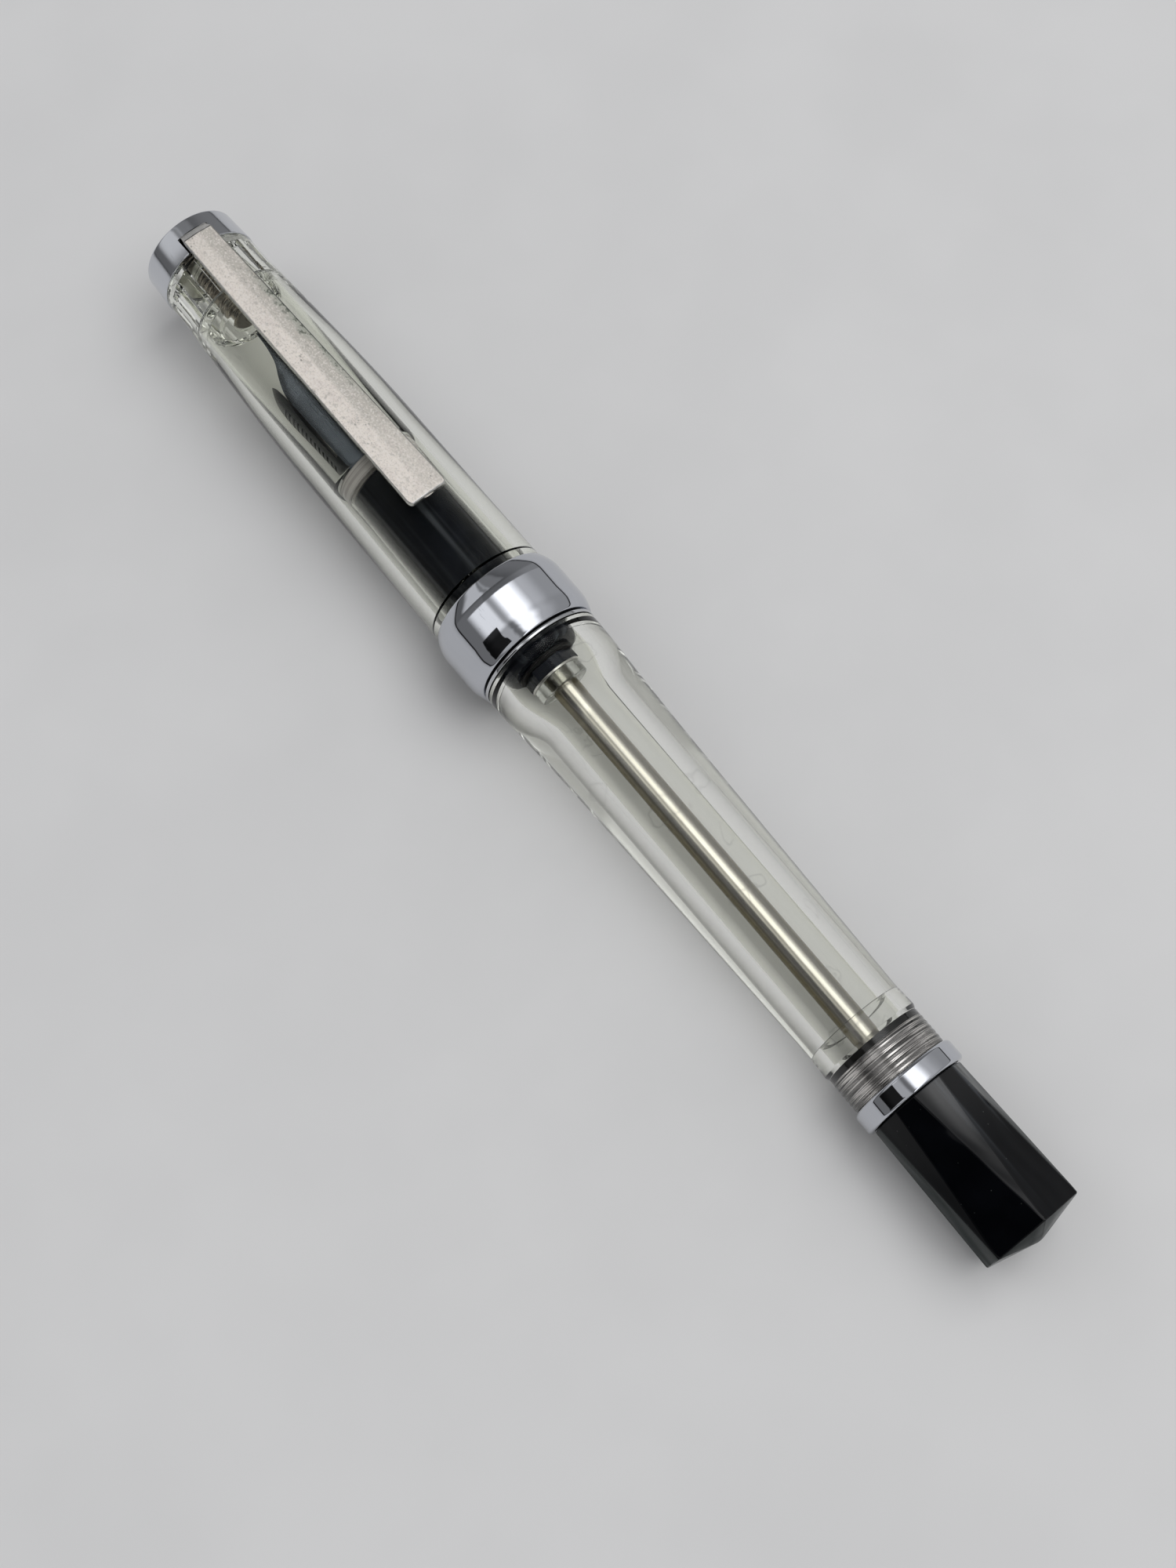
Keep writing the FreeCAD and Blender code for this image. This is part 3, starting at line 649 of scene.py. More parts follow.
# Painted reflection: the nib's steel is coloured dark blue-grey, the look of polished steel
# mirroring a dark room.
NIB_STEEL = turned_steel(
    "nib_steel", (0.155, 0.175, 0.210), rough=0.18, along=True, relief=0.02)
SCREW_METAL = turned_steel("dark_screw", (0.26, 0.23, 0.19), rough=0.18, lines=0.5)
BLASTED = blasted("blasted_metal")
MOUNT_STEEL = turned_steel("clip_mount_steel", (0.50, 0.49, 0.47), rough=0.22)
BLACK_PLASTIC = dark_plastic(
    "black_plastic", (0.0060, 0.0070, 0.0100), rough=0.16, spec=0.10, grain=0.0, streak=0.22,
    worn=0.0)
MATT_PLASTIC = dark_plastic(
    "black_matt_plastic", (0.010, 0.012, 0.014), rough=0.34, grain=0.10, spec=0.30)
RUBBER = dark_plastic(
    "black_rubber", (0.008, 0.008, 0.008), rough=0.42, grain=0.0, scale=1.4, lighter=1.5,
    spec=0.10, worn=0.0)
# Its rim colour is a painted sheen along the facets' edges.
KNOB_PLASTIC = dark_plastic(
    "black_knob", (0.0012, 0.0014, 0.0020), rough=0.035, grain=0.008, dust=0.10, spec=0.55,
    rim=(0.013, 0.020, 0.019), wavy=0.30, streak=0.22)


# ---- cap ------------------------------------------------------------------------------------
# Outline tables hold (station, radius) or (station, radius, fillet).
CAP_OUTER = [
    (9.00, 6.07), (11.3, 6.21), (15.3, 6.42), (19.3, 6.61), (23.1, 6.79), (27.0, 6.93),
    (31.0, 7.02), (36.0, 7.05), (44.0, 7.07), (50.0, 7.10), (56.6, 7.12)]
CAP_CROWN_END = [
    (3.36, 2.10), (3.36, 4.55, 0.08), (4.12, 4.55), (4.12, 5.95, 0.06), (8.93, 5.95, 0.05),
    CAP_OUTER[0]]
CAP_LIP_AND_BORE = [
    CAP_OUTER[-1], (56.6, 6.95), (64.20, 6.95, 0.08), (64.20, 6.02, 0.10), (55.4, 6.02),
    (55.0, CAP_BORE), (10.05, CAP_BORE, 0.55), (10.05, 4.40)]
FLUTES = 16
FLUTE_VALLEY, FLUTE_CREST = 4.75, 4.30      # radii
FLUTE_HALF, FLUTE_PHASE = 3.6, 5.0          # degrees: half a groove's width, first groove's place


def flute_radius(station, radius, angle):
    """Cut the flutes into the narrow crown-end bore, the only points near crest radius."""
    if not FLUTE_CREST - 0.01 < radius < 4.41:
        return radius
    pitch = 360.0 / FLUTES
    off_groove = abs((math.degrees(angle) - FLUTE_PHASE + pitch / 2) % pitch - pitch / 2)
    depth = min(1.0, max(0.0, (FLUTE_HALF + 0.35 - off_groove) / 0.7))
    return FLUTE_CREST + (FLUTE_VALLEY - FLUTE_CREST) * depth


def cap_shell():
    outline = rounded(CAP_CROWN_END, closed=False) + spline(CAP_OUTER, 60)[1:]
    outline += rounded(CAP_LIP_AND_BORE, closed=False)[1:]
    outline += [(9.9, FLUTE_CREST), (4.70, FLUTE_CREST), (4.60, 4.25), (4.60, 2.10)]
    shell = lathe("cap_shell_clear", outline, around=480, radius_at=flute_radius)
    place(shell, "cap", CLEAR_CAP, "cap_shell")


def inner_cap():
    outline = rounded([
        (10.12, 2.05), (10.12, 5.55, 0.62), (36.35, 5.55, 0.15), (36.35, 5.15, 0.12),
        (11.45, 5.15, 0.5), (11.20, 4.75), (11.20, 3.60), (12.00, 3.60, 0.15), (12.00, 0.0)],
        closed=False)
    outline += [(11.45, 0.0), (11.45, 2.05)]
    liner = lathe("inner_cap_clear", outline, around=200)
    place(liner, "cap_liner", CLEAR_LINER, "inner_cap")


def crown_ring():
    """Ring with a notch on +Z where the clip passes."""
    outline = rounded([
        (0.0, 4.60, 0.05), (0.0, 5.85, 0.34), (0.6, 5.868), (4.10, 6.04, 0.10),
        (4.10, 4.60, 0.05)], segments=6)
    crown = lathe("crown_ring_chrome", outline, around=256)
    combine(crown, box("crown_notch", (1.80, 5.0), (-1.95, 1.95), (3.0, 8.0)))
    place(crown, "cap", CROWN_CHROME, "crown_ring")


def crown_insert():
    """Disc closing the crown, with a shallow groove near its edge."""
    outline = rounded([
        (0.0, 0.0), (0.0, 3.55, 0.05), (0.06, 3.62, 0.02), (0.06, 3.70, 0.02),
        (0.0, 3.77, 0.05), (0.0, 4.55, 0.14), (1.30, 4.55, 0.05), (1.30, 0.0)], closed=False)
    insert = lathe("crown_insert_disc", outline, closed=False)
    place(insert, "cap", CHROME, "crown_insert")


def crown_screw():
    root, start, end, step = 1.78, 3.6, 11.1, 0.05
    outline = rounded([
        (1.40, 0.0), (1.40, 2.95, 0.08), (1.60, 3.20, 0.08), (2.40, 3.20, 0.06), (2.40, root)],
        closed=False)
    outline += steps(start, step, range(int((end - start) / step)), root)
    outline += [(11.20, root), (11.40, 1.55), (11.40, 0.0)]
    screw = lathe("crown_screw_turned", outline, around=72, closed=False,
                  radius_at=thread(root, height=0.22, start=3.65, end=11.0, pitch=0.70, lead=0.4))
    combine(screw, box("screw_slot", (1.0, 1.95), (-0.35, 0.35), (-4, 4)))
    place(screw, "cap", SCREW_METAL, "crown_screw")


def cap_band():
    outline = [(56.60, 6.98)]
    outline += spline([
        (56.60, 7.16), (56.66, 7.26), (56.9, 7.42), (57.5, 7.66), (58.1, 7.82), (58.7, 7.885),
        (59.2, 7.90), (59.5, 7.90)], 40)
    outline += spline([
        (61.9, 7.90), (62.2, 7.90), (62.7, 7.885), (63.2, 7.84), (63.6, 7.77), (64.2, 7.58),
        (64.58, 7.40), (64.68, 7.30), (64.70, 7.22)], 40)
    outline += rounded([
        (64.70, 7.22), (64.70, 6.15, 0.04), (64.60, 6.05), (64.25, 6.05, 0.03),
        (64.25, 6.98)], closed=False)[1:]
    band = lathe("cap_band_chrome", outline, around=256)
    place(band, "cap", CHROME, "cap_band")


# ---- clip -----------------------------------------------------------------------------------
CLIP_DEPTH = 0.90           # from the strip's top line to its underside
CLIP_CORNER = 0.12
# station, width, drop of the ridge and of the underside below the top line, corner radius
CLIP_SHOULDER = [
    (3.16, 3.69, 0.035, CLIP_DEPTH, CLIP_CORNER), (3.20, 3.70, 0.020, CLIP_DEPTH, CLIP_CORNER),
    (3.24, 3.70, 0.008, CLIP_DEPTH, CLIP_CORNER), (3.30, 3.70, 0.0, CLIP_DEPTH, CLIP_CORNER)]
CLIP_END = [
    (45.52, 4.77, 0.0, CLIP_DEPTH, CLIP_CORNER), (45.72, 4.69, 0.0, CLIP_DEPTH, CLIP_CORNER),
    (45.90, 4.55, 0.006, 0.89, 0.12), (46.03, 4.37, 0.03, 0.86, 0.11),
    (46.10, 4.22, 0.10, 0.82, 0.10), (46.14, 4.12, 0.20, 0.78, 0.08),
    (46.17, 4.06, 0.24, 0.76, 0.06), (46.20, 4.02, 0.40, 0.68, 0.05)]


def clip_stations():
    """Rows with the columns of CLIP_SHOULDER for the whole strip."""
    rows = []
    for station in (2.00, 2.05, 2.12, 2.25, 2.45, 2.65, 2.85, 3.00, 3.10):      # root facet
        drop = 0.70 * (3.2 - station) / 1.2 + (0.03 if station == 2.00 else 0.0)
        under = min(CLIP_DEPTH, drop + 0.16 + (station - 2.0) * 1.2)
        corner = 0.10 if station > 2.1 else 0.05
        rows.append((station, 3.30 + (station - 2.0) * 0.333, drop, under, corner))
    rows += CLIP_SHOULDER
    for station in np.linspace(3.40, 45.3, 300):
        if station < 12:
            width = 3.70 + (station - 3.2) / 8.8 * 0.35
        else:
            width = 4.05 + (station - 12) / 33.5 * 0.75
        rows.append((station, width, 0.0, CLIP_DEPTH, CLIP_CORNER))
    return rows + CLIP_END


def clip_section(station, width, drop, under, corner):
    """Closed (y, z) outline: two slopes from a ridge, then rounded sides and a flat base."""
    top_line = 6.90 + (station - 3.2) * 0.0512
    half = width / 2
    base = top_line - under
    ridge = top_line - drop
    fall = min(0.10, 0.3 * (under - drop))
    shoulder = ridge - fall
    corner = min(corner, (shoulder - base) * 0.45)
    flat = half - corner

    def quarter(y, z, number, count):
        """Quarter circle without its first point; quarters run from +Z towards +Y."""
        angles = np.linspace(0, math.pi / 2, count)[1:] + number * math.pi / 2
        return [(y + corner * math.sin(a), z + corner * math.cos(a)) for a in angles]

    points = [(y, ridge - fall * abs(y) / flat) for y in np.linspace(-flat, flat, 33)]
    points += quarter(flat, shoulder - corner, 0, 6)
    points += [(half, base + corner)]
    points += quarter(flat, base + corner, 1, 5)
    points += [(y, base) for y in np.linspace(flat, -flat, 12)[1:]]
    points += quarter(-flat, base + corner, 2, 5)
    points += [(-half, shoulder - corner)]
    points += quarter(-flat, shoulder - corner, 3, 6)[:-1]
    return points


def roughen(mesh):
    """Blasting leaves the skin slightly uneven; the end faces stay flat."""
    normals = [point.normal.copy() for point in mesh.vertices]
    for point, normal in zip(mesh.vertices, normals):
        if abs(normal.x) > 0.7:
            continue
        place_mm = point.co * 1000.0
        swell = noise.noise(place_mm * 1.9) * 0.006 + noise.noise(place_mm * 6.0) * 0.004
        point.co += normal * ((swell - 0.006) * MM)


def clip_dome():
    """Pressed dome under the free end."""
    centre, radius = 44.2, 2.2
    outline = [(centre - radius, 0.0)]
    outline += [(centre - radius * math.cos(a), radius * math.sin(a))
                for a in np.linspace(0.08, math.pi - 0.08, 40)]
    outline += [(centre + radius, 0.0)]
    dome = lathe("clip_dome", outline, around=64, closed=False, axis=(0.0, 9.30))
    limits = box("dome_limits", (41.0, 47.0), (-1.9, 1.9), (6.5, 8.65))
    combine(dome, limits, operation="INTERSECT")
    return dome


def clip_knuckle(half_width, height):
    """Rod across the foot of the leg."""
    def end_ring(y):
        angles = [FULL_TURN * k / 32 for k in range(32)]
        return [vertex(2.90 + 0.35 * math.cos(a), y, height + 0.35 * math.sin(a)) for a in angles]
    return prism("clip_knuckle", end_ring(-half_width), end_ring(half_width))


def clip_arm():
    sections = [(row[0], clip_section(*row)) for row in clip_stations()]
    verts = [vertex(station, y, z) for station, points in sections for y, z in points]
    count = len(sections[0][1])
    faces = []
    for first in range(0, len(verts) - count, count):
        for k in range(count):
            here, there = first + k, first + (k + 1) % count
            faces.append((here, there, there + count, here + count))
    faces.append(tuple(range(count - 1, -1, -1)))
    faces.append(tuple(range(len(verts) - count, len(verts))))
    arm = new_object("clip_arm_blasted", verts, faces)
    roughen(arm.data)
    dome = clip_dome()
    half_width, foot = 1.45, 5.40
    leg = box("clip_leg", (2.65, 3.15), (-half_width, half_width), (foot, 6.45))
    knuckle = clip_knuckle(half_width, foot)
    combine(arm, dome, leg, knuckle, sharp=18, operation="UNION")
    place(arm, "clip", BLASTED, "clip_arm")


# ---- barrel ---------------------------------------------------------------------------------
BARREL_OUTER = [
    (65.50, 7.18), (67.5, 7.16), (69.7, 7.07), (72.8, 6.90), (76.0, 6.75), (79.6, 6.61),
    (83.7, 6.48), (91.4, 6.27), (99.7, 6.06), (107.7, 5.86), (115.6, 5.67)]
BORE_FLARE = [
    (73.60, BARREL_BORE), (72.9, 3.54), (72.0, 3.72), (70.8, 4.08), (69.6, 4.41),
    (68.4, 4.64), (67.2, 4.74), (66.4, BARREL_MOUTH)]


def barrel_outline():
    front, tail = FRONT_THREAD_ROOT, TAIL_THREAD_ROOT
    outline = rounded([(57.40, BARREL_MOUTH), (57.40, front, 0.22), (57.75, front)],
                      closed=False)
    outline += steps(57.75, 0.09, range(1, 70), front)
    outline += [(64.40, front), (65.50, front)]
    outline += rounded([(65.50, 5.56), (65.50, 7.17, 0.06), (66.0, 7.178)], closed=False)[1:-1]
    outline += spline(BARREL_OUTER, 90)[1:]
    outline += rounded([
        BARREL_OUTER[-1], (116.30, 5.67, 0.3), (116.55, 5.71, 0.3), (118.55, 5.79, 0.2),
        (118.86, 5.64, 0.10), (118.95, tail, 0.05), (119.0, tail)], closed=False)[1:]
    outline += steps(119.0, 0.04, range(1, 101), tail)
    outline += rounded([
        (123.03, tail), (123.20, tail, 0.12), (123.20, 4.30, 0.06), (116.10, 4.30, 0.05),
        (116.10, BARREL_BORE, 0.06), (115.9, BARREL_BORE)], closed=False)[1:]
    outline += line(114.5, 73.6, 30, BARREL_BORE) + spline(BORE_FLARE, 40)
    outline += line(66.0, 58.0, 12, BARREL_MOUTH)
    return outline


def barrel_tube():
    front = thread(FRONT_THREAD_ROOT, height=0.40, start=57.9, end=63.9, pitch=1.30, lead=0.5)
    tail = thread(TAIL_THREAD_ROOT, height=0.05, start=119.62, end=123.04, pitch=0.60, lead=0.25)

    def radius_at(station, radius, angle):
        return front(station, tail(station, radius, angle), angle)

    tube = lathe("barrel_tube_clear", barrel_outline(), around=224, radius_at=radius_at)
    place(tube, "barrel", CLEAR_BARREL, "barrel_tube")


def shoulder_rings():
    gasket = ring("cap_stop_gasket_ring", 64.75, 64.95, RING_SEAT, 6.90, 0.09, 160, segments=5)
    place(gasket, "barrel", RUBBER, "cap_stop_gasket")
    trim = ring("trim_ring_steel", 64.96, 65.36, RING_SEAT, 7.25, 0.09, 224, segments=6)
    place(trim, "barrel", TRIM_STEEL, "trim_ring")
    gasket = ring("trim_gasket_ring", 65.37, 65.49, RING_SEAT, 6.98, 0.05, 160)
    place(gasket, "barrel", RUBBER, "trim_gasket")


def section_grip():
    outline = rounded([(36.42, 4.35), (36.42, 5.10, 0.30), (36.9, 5.095)],
                      closed=False, segments=7)[:-1]
    outline += spline([
        (36.9, 5.10), (38.4, 5.07), (41.0, 4.99), (45.0, 4.93), (50.0, 4.95), (54.0, 5.02),
        (57.33, 5.12)], 60)
    outline += [(57.33, 4.78), (38.45, 4.78), (38.45, 4.35)]
    grip = lathe("section_grip_clear", outline, around=192)
    place(grip, "barrel", CLEAR_GRIP, "section_grip")


def section_core():
    """Black core, hollowed about the nib's axis at its nib end and the pen's axis behind."""
    outline = rounded([
        (38.50, 0.0), (38.50, 4.75, 0.45), (57.36, 4.75), (57.42, 4.70), (58.80, 4.70, 0.04),
        (58.80, 4.15), (59.50, 4.15), (59.50, 4.70, 0.04), (65.60, 4.70)],
        closed=False, segments=6)
    outline += spline([(65.60, 4.70), (66.0, 4.60), (66.22, 4.36), (66.30, 4.05)], 14)[1:]
    outline += [(66.30, 0.0)]
    core = lathe("section_core_black", outline, closed=False)
    nib_axis = (-math.sin(NIB_TURN) * NIB_AXIS_Z, math.cos(NIB_TURN) * NIB_AXIS_Z)
    nib_hole = cylinder("nib_hole", 36.0, 50.05, 3.70, around=96, axis=nib_axis)
    rear_hole = cylinder("rear_hole", 49.0, 68.0, 2.40, around=96)
    combine(core, nib_hole, rear_hole)
    place(core, "barrel", BLACK_PLASTIC, "section_core")


def section_o_ring():
    seal = o_ring("section_o_ring_rubber", 59.15, major=4.44, minor=0.27, around=128)
    place(seal, "barrel", RUBBER, "section_o_ring")


# ---- nib ------------------------------------------------------------------------------------
NIB_RADIUS = [      # station, radius about the nib's own axis
    (13.75, 0.26), (13.95, 0.36), (15.0, 0.72), (16.4, 1.22), (17.8, 1.72), (19.6, 2.38),
    (21.4, 2.98), (23.2, 3.42), (25.0, 3.61), (27.0, 3.65), (30.0, 3.65), (38.0, 3.65),
    (46.0, 3.65)]
NIB_LOWER_EDGE = [  # station, z of the lower edge
    (13.7, -0.48), (14.3, -0.55), (16.0, -0.62), (17.6, -0.76), (19.0, -0.95), (20.0, -1.22),
    (21.2, -1.70), (22.5, -2.14), (23.5, -2.40), (24.4, -2.49), (26.0, -2.47), (30.0, -2.38),
    (34.0, -2.28), (40.0, -2.23), (46.0, -2.20)]
NIB_THICKNESS = 0.28
NIB_ACROSS = 56             # vertices across the nib
SLIT_END = 25.6             # also the middle of the breather hole


def nib_shell():
    """Curved sheet: an outer and an inner grid joined along their edges."""
    radii = np.array(spline(NIB_RADIUS, 400))
    edges = np.array(spline(NIB_LOWER_EDGE, 400))
    stations = np.concatenate([np.linspace(13.76, 26.0, 110), np.linspace(26.25, 45.9, 80)])
    count = len(stations)
    verts, faces = [], []
    for inner in (False, True):
        for station in stations:
            radius = float(np.interp(station, radii[:, 0], radii[:, 1]))
            edge = float(np.interp(station, edges[:, 0], edges[:, 1]))
            reach = math.acos(max(-1.0, min(1.0, (edge - NIB_AXIS_Z) / max(radius, 0.05))))
            if inner:
                radius -= min(NIB_THICKNESS, radius * 0.55)
            verts += [around_axis(station, radius, angle, (0.0, NIB_AXIS_Z))
                      for angle in np.linspace(-reach, reach, NIB_ACROSS)]

    def at(side, i, j):
        return (side * count + i) * NIB_ACROSS + j

    for i in range(count - 1):
        for j in range(NIB_ACROSS - 1):
            faces.append((at(0, i, j), at(0, i, j + 1), at(0, i + 1, j + 1), at(0, i + 1, j)))
            faces.append((at(1, i, j), at(1, i + 1, j), at(1, i + 1, j + 1), at(1, i, j + 1)))
        for j in (0, NIB_ACROSS - 1):
            faces.append((at(0, i, j), at(0, i + 1, j), at(1, i + 1, j), at(1, i, j)))
    for i in (0, count - 1):
        for j in range(NIB_ACROSS - 1):
            faces.append((at(0, i, j), at(0, i, j + 1), at(1, i, j + 1), at(1, i, j)))
    return new_object("nib_polished", verts, faces, sharp=35)


def breather_cutter():
    def end_ring(z):
        angles = [FULL_TURN * k / 40 for k in range(40)]
        return [vertex(SLIT_END + 0.62 * math.cos(a), 0.62 * math.sin(a), z) for a in angles]
    return prism("breather_cutter", end_ring(1.0), end_ring(6.0))


def nib():
    blade = nib_shell()
    slit = box("slit_cutter", (13.0, SLIT_END), (-0.05, 0.05), (-1.2, 6.0))
    combine(blade, breather_cutter(), slit, sharp=35)
    blade.data.transform(Matrix.Rotation(NIB_TURN, 4, "X"))
    blade.data.update()
    place(blade, "barrel", NIB_STEEL, "nib")


# ---- gland: the rod's seal in the barrel's tail ---------------------------------------------
def gland_seal():
    seal = ring("gland_seal_rubber", 118.86, 119.62, ROD_HOLE, 4.34, 0.03, 128, segments=3)
    place(seal, "barrel", RUBBER, "gland_seal")


def gland_body():
    crest, height = 4.38, 0.06
    root = crest - height
    outline = [(119.63, ROD_HOLE), (119.63, 4.33)]
    outline += steps(119.65, 0.06, range(56), root)
    outline += rounded([
        (123.05, crest), (123.15, 4.33), (123.15, 3.20, 0.05), (121.45, 3.20, 0.05),
        (121.45, ROD_HOLE, 0.04), (120.90, ROD_HOLE), (120.90, 2.30), (120.15, 2.30),
        (120.15, ROD_HOLE)], closed=False)
    gland = lathe("gland_body_turned", outline, around=144,
                  radius_at=thread(root, height, start=119.6, end=123.2, pitch=0.60, lead=0.1))
    place(gland, "barrel", GLAND_METAL, "gland_body")


def rod_o_ring():
    seal = o_ring("rod_o_ring_rubber", 120.52, major=1.90, minor=0.34, around=72)
    place(seal, "barrel", RUBBER, "rod_o_ring")


# ---- plunger head ---------------------------------------------------------------------------
def plunger_seal():
    """Rubber disc with a turned-over lip and a short neck."""
    outline = rounded([
        (66.92, ROD_HOLE), (66.92, 2.90, 0.05), (66.89, 3.30, 0.05), (66.80, 3.45, 0.08),
        (66.55, 3.45, 0.08), (66.40, 3.28, 0.08), (66.36, 2.30, 0.06), (65.10, 2.08, 0.10),
        (64.90, 1.85, 0.08), (64.90, 1.75), (66.20, 1.75), (66.20, ROD_HOLE)])
    seal = lathe("plunger_seal_rubber", outline, around=128)
    place(seal, "plunger_head", RUBBER, "plunger_seal")


def plunger_collar():
    """Hexagonal collar."""
    start, end, radius, phase = 66.95, 68.40, 3.15, 15.3

    def hexagon(station):
        return [around_axis(station, radius, math.radians(60 * k + phase)) for k in range(6)]

    collar = prism("plunger_collar_black", hexagon(start), hexagon(end))
    bevel(collar, width=0.10, segments=4)
    combine(collar, cylinder("collar_hole", start - 1, end + 1, ROD_HOLE, around=64))
    place(collar, "plunger_head", BLACK_PLASTIC, "plunger_collar")


def seal_washer():
    washer = ring("seal_washer_steel", 68.43, 68.72, ROD_HOLE, 3.00, 0.05, 128)
    place(washer, "plunger_head", STEEL, "seal_washer")


def seal_backing_disc():
    outline = [(68.75, ROD_HOLE), (68.75, 2.86, 0.05), (70.40, 2.86, 0.22),
               (70.40, ROD_HOLE, 0.05)]
    disc = lathe("seal_backing_disc_smoky", rounded(outline, segments=6), around=128)
    place(disc, "plunger_head", SMOKY_DISC, "seal_backing_disc")


# ---- rod and knob ---------------------------------------------------------------------------
def plunger_rod():
    end = 130.0
    outline = rounded([
        (65.20, 0.0), (65.20, 0.95, 0.10), (66.24, 0.95), (66.24, ROD_RADIUS, 0.06),
        (end, ROD_RADIUS)], closed=False)[:-1]
    outline += line(67.0, end, 60, ROD_RADIUS) + [(end, 0.0)]
    rod = lathe("plunger_rod_steel", outline, around=96, closed=False)
    place(rod, "knob", ROD_STEEL, "plunger_rod")


def knob_insert():
    """Threaded stud with a collar and a sleeve that enters the knob."""
    root, bore = 2.80, 1.51
    outline = [(121.60, bore), (121.60, 2.62), (121.78, root)]
    outline += steps(121.80, 0.05, range(1, 40), root)
    outline += rounded([
        (123.85, root), (123.90, 2.95), (125.72, 2.95), (125.72, 2.60), (130.40, 2.60, 0.05),
        (130.40, bore)], closed=False)
    insert = lathe("knob_insert_turned", outline, around=120,
                   radius_at=thread(root, height=0.30, start=121.75, end=123.6, pitch=0.70,
                                    lead=0.3))
    place(insert, "knob", GLAND_METAL, "knob_insert")


def knob_ring():
    outline = rounded([
        (123.26, 3.15), (123.26, 6.07, 0.46), (125.70, 6.07, 0.40), (125.70, 2.97, 0.05),
        (123.95, 2.97), (123.95, 3.15)], segments=8)
    collar = lathe("knob_ring_chrome", outline, around=224)
    place(collar, "knob", CHROME, "knob_ring")


def knob():
    """Twelve-cornered foot growing into a hexagon, closed by a low six-sided point."""
    def point(station, radius, degrees):
        return around_axis(station, radius, math.radians(degrees))

    verts = [point(125.74, 5.49, 60 * i + side) for i in range(6) for side in (-17.5, 17.5)]
    verts += [point(142.50, 5.97, 60 * i) for i in range(6)]
    verts += [point(143.70, 0.35, 60 * i) for i in range(6)]
    faces = [tuple(range(12)), tuple(range(18, 24))]
    for i in range(6):
        j = (i + 1) % 6
        faces.append((2 * i, 2 * i + 1, 12 + i))
        faces.append((2 * i + 1, 2 * j, 12 + j, 12 + i))
        faces.append((12 + i, 12 + j, 18 + j, 18 + i))
    body = new_object("knob_black_faceted", verts, faces, sharp=10)
    bevel(body, width=0.16, segments=5, angle=6.0, sharp=40)
    combine(body, cylinder("knob_hole", 124.0, 130.60, 2.63, around=80), sharp=40)
    place(body, "knob", KNOB_PLASTIC, "knob")


def finish_cad_pieces():
    """CAD pieces that keep their shape get their own finish."""
    finishes = {"clip_mount": MOUNT_STEEL, "feed": MATT_PLASTIC, "nib_tip": STEEL,
                "rod_tip_nut": STEEL}
    for node, material in finishes.items():
        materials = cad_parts[node].data.materials
        materials.clear()
        materials.append(material)


for build in (cap_shell, inner_cap, crown_ring, crown_insert, crown_screw, cap_band, clip_arm,
              barrel_tube, shoulder_rings, section_grip, section_core, section_o_ring, nib,
              gland_seal, gland_body, rod_o_ring, plunger_seal, plunger_collar, seal_washer,
              seal_backing_disc, plunger_rod, knob_insert, knob_ring, knob, finish_cad_pieces):
    build()


# ---- floor ----------------------------------------------------------------------------------
FLOOR_SLOPE = 0.02425       # rise along +X in the pen's own frame
FLOOR_HALF = 3000


def floor_vertex(x, y):
    return (x * MM, y * MM, (-7.91 + (x - 2.25) * FLOOR_SLOPE) * MM)


def build_floor():
    graph = new_graph("floor_paint")
    fine = graph.grain((35, 35, 35))
    paint = graph.mix(graph.span(fine, 0.3, 0.7), (0.70, 0.70, 0.705), (0.73, 0.73, 0.735))
    material = graph.finish(graph.principled(Base_Color=paint, Roughness=0.75,
                                             Specular_IOR_Level=0.15))
    mesh = bpy.data.meshes.new("floor")
    corners = [(-1, -1), (1, -1), (1, 1), (-1, 1)]
    verts = [floor_vertex(x * FLOOR_HALF, y * FLOOR_HALF) for x, y in corners]
    mesh.from_pydata(verts, [], [(0, 1, 2, 3)])
    floor = bpy.data.objects.new("floor", mesh)
    scene.collection.objects.link(floor)
    mesh.materials.append(material)


build_floor()

# ---- camera ---------------------------------------------------------------------------------
CAMERA_TURN = math.radians(15.3)        # about the pen's axis, from +Z towards -Y
CAMERA_LEAN = math.radians(15.6)        # of the view towards the crown
CAMERA_TILT = math.radians(1.23146049)  # of the view off the plane through the pen's axis
CAMERA_DISTANCE = 217.2                 # mm from the pen's axis
CAMERA_X = 79.2
ROLL_COS, ROLL_SIN = 0.65126, 0.75885

pen = Vector((1, 0, 0))
to_camera = Vector((0, -math.sin(CAMERA_TURN), math.cos(CAMERA_TURN)))
sideways = Vector((0, math.cos(CAMERA_TURN), math.sin(CAMERA_TURN)))
untilted = -to_camera * math.cos(CAMERA_LEAN) - pen * math.sin(CAMERA_LEAN)
view = untilted * math.cos(CAMERA_TILT) - sideways * math.sin(CAMERA_TILT)
view_side = sideways * math.cos(CAMERA_TILT) + untilted * math.sin(CAMERA_TILT)
view_along = pen * math.cos(CAMERA_LEAN) - to_camera * math.sin(CAMERA_LEAN)
camera_right = view_along * ROLL_COS + view_side * ROLL_SIN
camera_up = view_along * -ROLL_SIN + view_side * ROLL_COS


def build_camera():
    lens = bpy.data.cameras.new("camera")
    lens.lens = 49.32
    lens.sensor_width = 36.0
    lens.clip_start, lens.clip_end = 0.005, 20.0
    camera = bpy.data.objects.new("camera", lens)
    scene.collection.objects.link(camera)
    matrix = Matrix((camera_right, camera_up, -view)).transposed().to_4x4()
    matrix.translation = (pen * CAMERA_X + to_camera * CAMERA_DISTANCE) * MM
    camera.matrix_world = matrix
    scene.camera = camera


build_camera()


